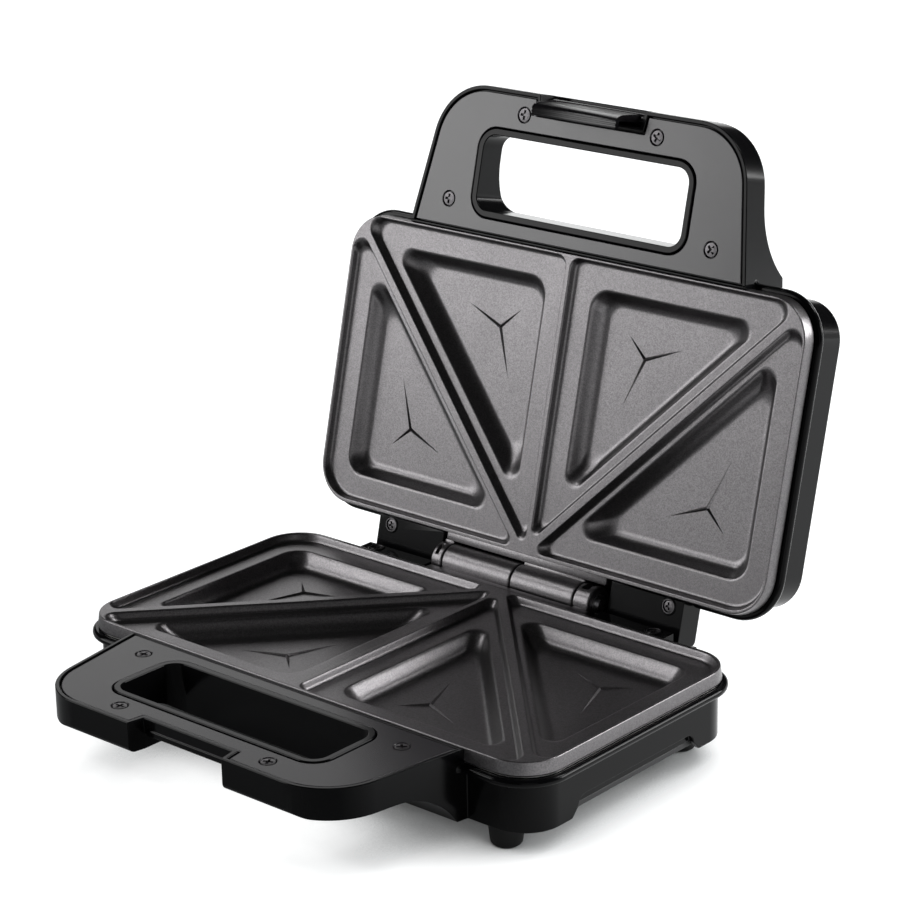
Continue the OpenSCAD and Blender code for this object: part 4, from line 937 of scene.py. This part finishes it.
def tapered_feet():
    """Round feet that narrow towards a rounded tread, each with a stem on top."""
    tree, given, result = node_tree_named("tapered_feet", [
        ("Foot Width", 15.0), ("Foot Height", 10.2), ("Taper", 0.84),
        ("Tread Rounding", 1.8), ("Tread Share", 0.35), ("Stem Width", 5.0), ("Stem Length", 3.9)])
    blank, _, (x, y, z) = round_blank(tree, given["Foot Width"], given["Foot Height"], 40, 18, 3)
    rise = math_node(tree, "DIVIDE", z, given["Foot Height"])
    spare = math_node(tree, "SUBTRACT", 1, given["Taper"])
    lean = math_node(tree, "MULTIPLY_ADD", spare, rise, given["Taper"])
    up_tread = math_node(tree, "DIVIDE", z, given["Tread Rounding"])
    near_tread = math_node(tree, "MAXIMUM", math_node(tree, "SUBTRACT", 1, up_tread), 0)
    rounding = product(tree, near_tread, near_tread, given["Tread Share"])
    curl = math_node(tree, "SQRT", math_node(tree, "SUBTRACT", 1, rounding))
    narrow = product(tree, lean, curl)
    shaped = added(tree, "GeometryNodeSetPosition")
    narrowed = vector_of(tree, product(tree, x, narrow), product(tree, y, narrow), z)
    wire(tree, (blank, shaped.inputs["Geometry"]), (narrowed, shaped.inputs["Position"]))
    stem_middle = math_node(tree, "MULTIPLY_ADD", given["Stem Length"], 0.5, given["Foot Height"])
    stem = moved_rod(tree, given["Stem Width"], given["Stem Length"], 24, stem_middle)
    put_on_places(tree, (shaped.outputs[0], stem), given, result)
    return tree


corners = [(x, y, tread_z) for x in (-foot_x, foot_x) for y in (foot_front, foot_back)]
repeated(tapered_feet(), "rubber_foot_set", "base", corners, rubber, "rubber_parts", "rubber_feet")
softened("cord_inlet_bush", "cord_bush", "base", rubber, 0.3)

# ---- Bottom cover and lid panel ----
# The bottom cover is fine-grained black plastic with a row of air slots. The lid's panel is a plain
# satin plate set flush in the lid.

matt_black = plastic("matt_black_plastic", (0.012, 0.012, 0.013), 0.5, 0.1, 0.35, 0.02,
                     Specular_IOR_Level=0.35)
softened("base_bottom_cover", "bottom_plate", "base", matt_black, 0.3)
softened("lid_panel", "lid_badge_plate", "lid", upper_satin, 0.3)

# ---- Lamps ----
# Two neon lamps on a pale bracket shine through a red and a green lens in the lid. The terminal
# block in the base is of the same pale, heatproof plastic as the bracket.


def kept(node, material):
    """Gives a plain solid whose shape is right its finish."""
    piece = frame["nodes"][node]
    if not piece.material_slots:
        piece.data.materials.append(None)
    for place in piece.material_slots:
        place.material = material


def lens(name, color):
    """Tinted clear plastic with a faint prism grain on its inside."""
    material, tree, shader = finish_named(name, Base_Color=(*color, 1), Transmission_Weight=0.55, IOR=1.49)
    prisms = pattern(tree, "ShaderNodeTexVoronoi", None, Scale=900)
    haze = placed(tree, handling_group, Patch_Size=3, Dull=0.12, Base=0.12)
    wire(tree, (haze.outputs["Roughness"], shader.inputs["Roughness"]))
    relief(tree, shader, prisms.outputs["Distance"], 0.05)
    return material


red_lens = lens("red_lens_plastic", (0.55, 0.02, 0.015))
green_lens = lens("green_lens_plastic", (0.02, 0.35, 0.05))
softened("power_lamp_lens", "power_lens", "lid", red_lens, edge_radius)
softened("ready_lamp_lens", "ready_lens", "lid", green_lens, edge_radius)
lamp_glass, tree, shader = finish_named("lamp_glass", Base_Color=(0.9, 0.86, 0.8, 1),
                                        Transmission_Weight=0.8, IOR=1.5)
haze = placed(tree, handling_group, Patch_Size=2, Dull=0.1, Base=0.05)
wire(tree, (haze.outputs["Roughness"], shader.inputs["Roughness"]))
kept("neon_lamps", lamp_glass)
pale_plastic = plastic("pale_heatproof_plastic", (0.62, 0.6, 0.54), 0.5, 0.1, 0.6, 0.02)
kept("lamp_bracket", pale_plastic)
kept("terminal_block", pale_plastic)

# ---- Heating parts ----
# Thin bright pans under the plates, tubular elements clamped to the plates' backs, and the
# thermostats and fuse that guard them.

pan_sheet = bare_metal("bright_pan_sheet", (0.58, 0.57, 0.56), 8, 0.25, 0.22, 0.05)
kept("base_pan", pan_sheet)
kept("lid_pan", pan_sheet)

element_skin, tree, shader = finish_named("oxidised_element_tube", Metallic=0.85)
heat = placed(tree, handling_group, Patch_Size=25, Dull=0.2, Base=0.35)
two_tone(tree, shader, heat.outputs["Mask"], (0.13, 0.1, 0.075), (0.1, 0.11, 0.14))
wire(tree, (heat.outputs["Roughness"], shader.inputs["Roughness"]))
kept("lower_element", element_skin)
kept("upper_element", element_skin)

control_metal = bare_metal("plated_control_metal", (0.5, 0.48, 0.44), 4, 0.2, 0.25, 0.02)
for node in ("lower_thermostat", "upper_thermostat", "thermal_fuse"):
    kept(node, control_metal)

# ---- Pins, clamps and inner screws ----
# Bright steel: the hinge pin with its clip, the latch pin, the element clamps and the screws that
# are hidden in the housings.

bright_steel = bare_metal("bright_steel", (0.5, 0.5, 0.51), 3, 0.2, 0.2, 0.02)
for node in ("hinge_pin", "hinge_pin_clip", "latch_pin"):
    kept(node, bright_steel)
for half in ("lower", "upper"):
    for part in ("element_clamps", "clamp_screws", "plate_screws"):
        kept(half + "_" + part, bright_steel)
